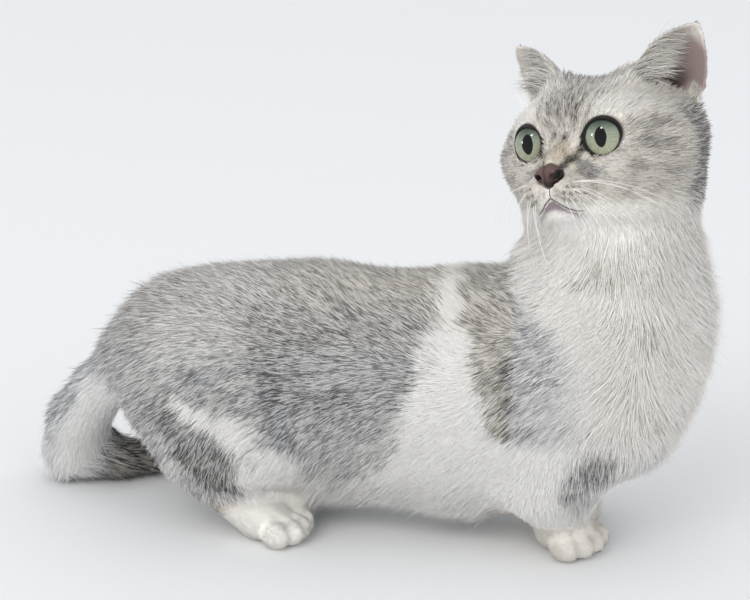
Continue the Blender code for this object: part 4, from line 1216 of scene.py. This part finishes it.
def tube(name, points, radii, material, closed=False):
    """A round tube through points in metres, with a radius in millimetres at each."""
    curve = bpy.data.curves.new(name, "CURVE")
    curve.dimensions = "3D"
    curve.bevel_depth = MM
    curve.bevel_resolution = 2
    curve.use_fill_caps = not closed
    spline = curve.splines.new("POLY")
    spline.points.add(len(points) - 1)
    for point, place, radius in zip(spline.points, points, radii):
        point.co = (*place, 1)
        point.radius = radius
    spline.use_cyclic_u = closed
    holder = bpy.data.objects.new(name, curve)
    mesh = bpy.data.meshes.new_from_object(holder)
    bpy.data.objects.remove(holder)
    mesh.shade_smooth()
    mesh.materials.append(material)
    piece = linked(name, mesh)
    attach(piece, "root")
    return piece


# The bare rim is nearly black and a little moist, which frames the pale iris
rim_material, shader = new_material("moist_black_lid_edge", "#120E0D", 0.4, Specular_IOR_Level=0.2)
WRINKLE, WRINKLE_DEPTH = 0.5, 0.1
place = add_node(rim_material, "ShaderNodeTexCoord")
grain = add_node(rim_material, "ShaderNodeTexNoise", inputs={
    "Vector": place.outputs["Object"], "Scale": 1 / (WRINKLE * MM)})
add_node(rim_material, "ShaderNodeBump", inputs={
    "Strength": 0.3, "Distance": WRINKLE_DEPTH * MM, "Height": grain.outputs["Fac"]},
    to={"Normal": shader.inputs["Normal"]})

LID_POINTS = 72
LID_PROUD = 0.25
for name, side in SIDES.items():
    points, radii = [], []
    for i in range(LID_POINTS):
        angle = 2 * math.pi * i / LID_POINTS
        corner = math.exp(-((angle - math.pi) / 0.35) ** 2)
        y = (OPENING_WIDE + 0.5 + 1.2 * corner) * math.cos(angle) * side
        z = (OPENING_HIGH + 0.5) * math.sin(angle) - 1.0 * corner
        outwards = math.hypot(y, z)
        forward = math.sqrt(max((EYE_RADIUS + LID_PROUD) ** 2 - outwards ** 2, 0.5))
        points.append(eye_place(side) @ (Vector((forward, y, z)) * MM))
        radii.append(0.45 + 0.75 * max(math.sin(angle + 0.3), 0) + 0.6 * corner)
    rim = tube(f"lid_edge_{name}", points, radii, rim_material, closed=True)

# Nose leather. Bare, finely pebbled skin, mauve brown, set into the end of the muzzle, with a
# comma-shaped nostril each side and a furrow down its middle.

# Damp leather: fine pebbles break up its soft shine. Its colour holds painted shade: darker towards the
# underside and down the middle furrow, and near black in the nostrils and beside them
leather, shader = new_material("pebbled_nose_leather", "#4A3836", 0.5, Specular_IOR_Level=0.25)
add_node(leather, "ShaderNodeAttribute", {"attribute_name": "coat"},
         to={"Color": shader.inputs["Base Color"]})
PEBBLE, PEBBLE_DEPTH = 0.7, 0.15
place = add_node(leather, "ShaderNodeTexCoord")
pebbles = add_node(leather, "ShaderNodeTexVoronoi", inputs={
    "Vector": place.outputs["Object"], "Scale": 1 / (PEBBLE * MM)})
add_node(leather, "ShaderNodeBump", inputs={
    "Strength": 0.5, "Distance": PEBBLE_DEPTH * MM, "Height": pebbles.outputs["Distance"]},
    to={"Normal": shader.inputs["Normal"]})
bm = bmesh.new()
bm.from_mesh(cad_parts["nose"].data)
bmesh.ops.remove_doubles(bm, verts=bm.verts, dist=1e-6)
for _ in range(2):
    bmesh.ops.subdivide_edges(bm, edges=bm.edges, cuts=1, use_grid_fill=True)
    bmesh.ops.smooth_vert(bm, verts=bm.verts, factor=0.4, use_axis_x=True, use_axis_y=True, use_axis_z=True)
for face in bm.faces:
    face.smooth = True
nose = object_from("nose_leather", bm, leather)
points, outward = points_of(nose.data), normals_of(nose.data)
head = seen_from(HEAD, points)
sided = folded(head)
# The nostril's curve on the left side, from its inner end to the wing of the nose
COMMA = [(50.5, 3.2, -18.6), (48.5, 4.6, -17.0), (45.2, 8.6, -15.6)]
off = np.minimum(near_line(sided, COMMA[0], COMMA[1])[0], near_line(sided, COMMA[1], COMMA[2])[0])
nostril = ramp(-off, -2.0, -1.0)
wing = ramp(sided[:, 1], 5.4, 6.6) * ramp(-sided[:, 2], 13.0, 14.2)
furrow = ramp(-sided[:, 1], -0.9, -0.2) * (head[:, 0] > 45)
NOSTRIL_DEPTH, FURROW_DEPTH = 1.1, 0.5
set_points(nose.data, points - outward * (NOSTRIL_DEPTH * nostril + FURROW_DEPTH * furrow)[:, None] * MM)
# Painted shade: darker towards the underside, in the furrow, and near black in the nostrils and on their
# wings
shade = mixed(linear("#5F4946"), linear("#362928"), ramp(-head[:, 2], 16, 21)[:, None])
shade = shade * (1 - 0.45 * furrow)[:, None]
shade = mixed(shade, linear("#120D0C"), np.maximum(nostril, 0.9 * wing)[:, None])
paint(nose.data, shade)
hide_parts("nose")
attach(nose, "root")

# Mouth. The lips meet in a dark mauve line of bare skin that drops from the nose and parts below
# the whisker pads. It lies on the skin, and the lower lip under it is painted there.

face_shape = BVHTree.FromObject(skin, bpy.context.evaluated_depsgraph_get())


def on_skin(point, proud=0.0):
    """The skin's nearest place to a point of the head's frame, raised by some millimetres."""
    place, normal, _, _ = face_shape.find_nearest(HEAD @ (Vector(point) * MM))
    return place + normal * proud * MM


# Bare skin with no shine, so that the mouth reads as a soft dark line
lip_material, _ = new_material("mauve_lip_edge", "#605055", 0.6)
PHILTRUM = [(48, 0, -22), (48, 0, -24), (47.5, 0, -26.5), (47, 0, -28.5)]
tube("philtrum", [on_skin(p, 0.1) for p in PHILTRUM], [0.3, 0.28, 0.28, 0.28], lip_material)
for name, side in SIDES.items():
    points = [on_skin((f, s * side, u), 0.3) for f, s, u in LIP]
    tube(f"lip_line_{name}", points, [0.34, 0.36, 0.34, 0.28, 0.12], lip_material)

# Whiskers. Stiff white tapering hairs from the four rows of the whisker pads, curving back and
# down, with a few shorter ones over each eye.

# Horn-like white hair, smooth enough for a thin bright line along its length
whisker_material, _ = new_material("white_whisker", "#F7F6F3", 0.4, Specular_IOR_Level=0.5)
WHISKER_STEPS, WHISKER_ROOT = 14, 0.6
WHISKER_LENGTHS, BROW_LENGTHS, SHORTER_PER_ROW = (48, 68), (16, 22), 5


def whisker(name, start, way, droop, length, thick=0.15):
    """A hair that leaves the skin one way and bends towards droop, in the head's frame."""
    base = on_skin(start, -WHISKER_ROOT)
    way, droop = Vector(way).normalized(), Vector(droop)
    points = [base]
    for i in range(WHISKER_STEPS):
        bend = (i / WHISKER_STEPS) ** 1.2
        heading = HEAD.to_3x3() @ (way + droop * bend).normalized()
        points.append(points[-1] + heading * (length / WHISKER_STEPS) * MM)
    radii = [thick * (1 - 0.8 * i / WHISKER_STEPS) for i in range(WHISKER_STEPS + 1)]
    tube(name, points, radii, whisker_material)


rng = np.random.default_rng(31)
for name, side in SIDES.items():
    count = 0
    for row, (start, end) in enumerate(SPOT_ROWS):
        for k in range(3):
            t = (k + 0.4) / 3
            place = [s + (e - s) * t for s, e in zip(start, end)]
            place[1] *= side
            way = (-0.2 - 0.18 * k, (1.0 - 0.2 * row) * side, -0.05 - 0.38 * row)
            droop = (-0.8, (0.2 - 0.3 * row) * side, -1.3 - 0.15 * row)
            length = rng.uniform(*WHISKER_LENGTHS) - SHORTER_PER_ROW * row
            whisker(f"whisker_{name}_{count + 1}", place, way, droop, length)
            count += 1
    for k in range(3):
        place = (26 - 2 * k, (20 + 3 * k) * side, 14 + k)
        whisker(f"brow_whisker_{name}_{k + 1}", place, (0.3, 0.35 * side, 0.9),
                (-0.9, 0.3 * side, 0.0), rng.uniform(*BROW_LENGTHS), 0.12)
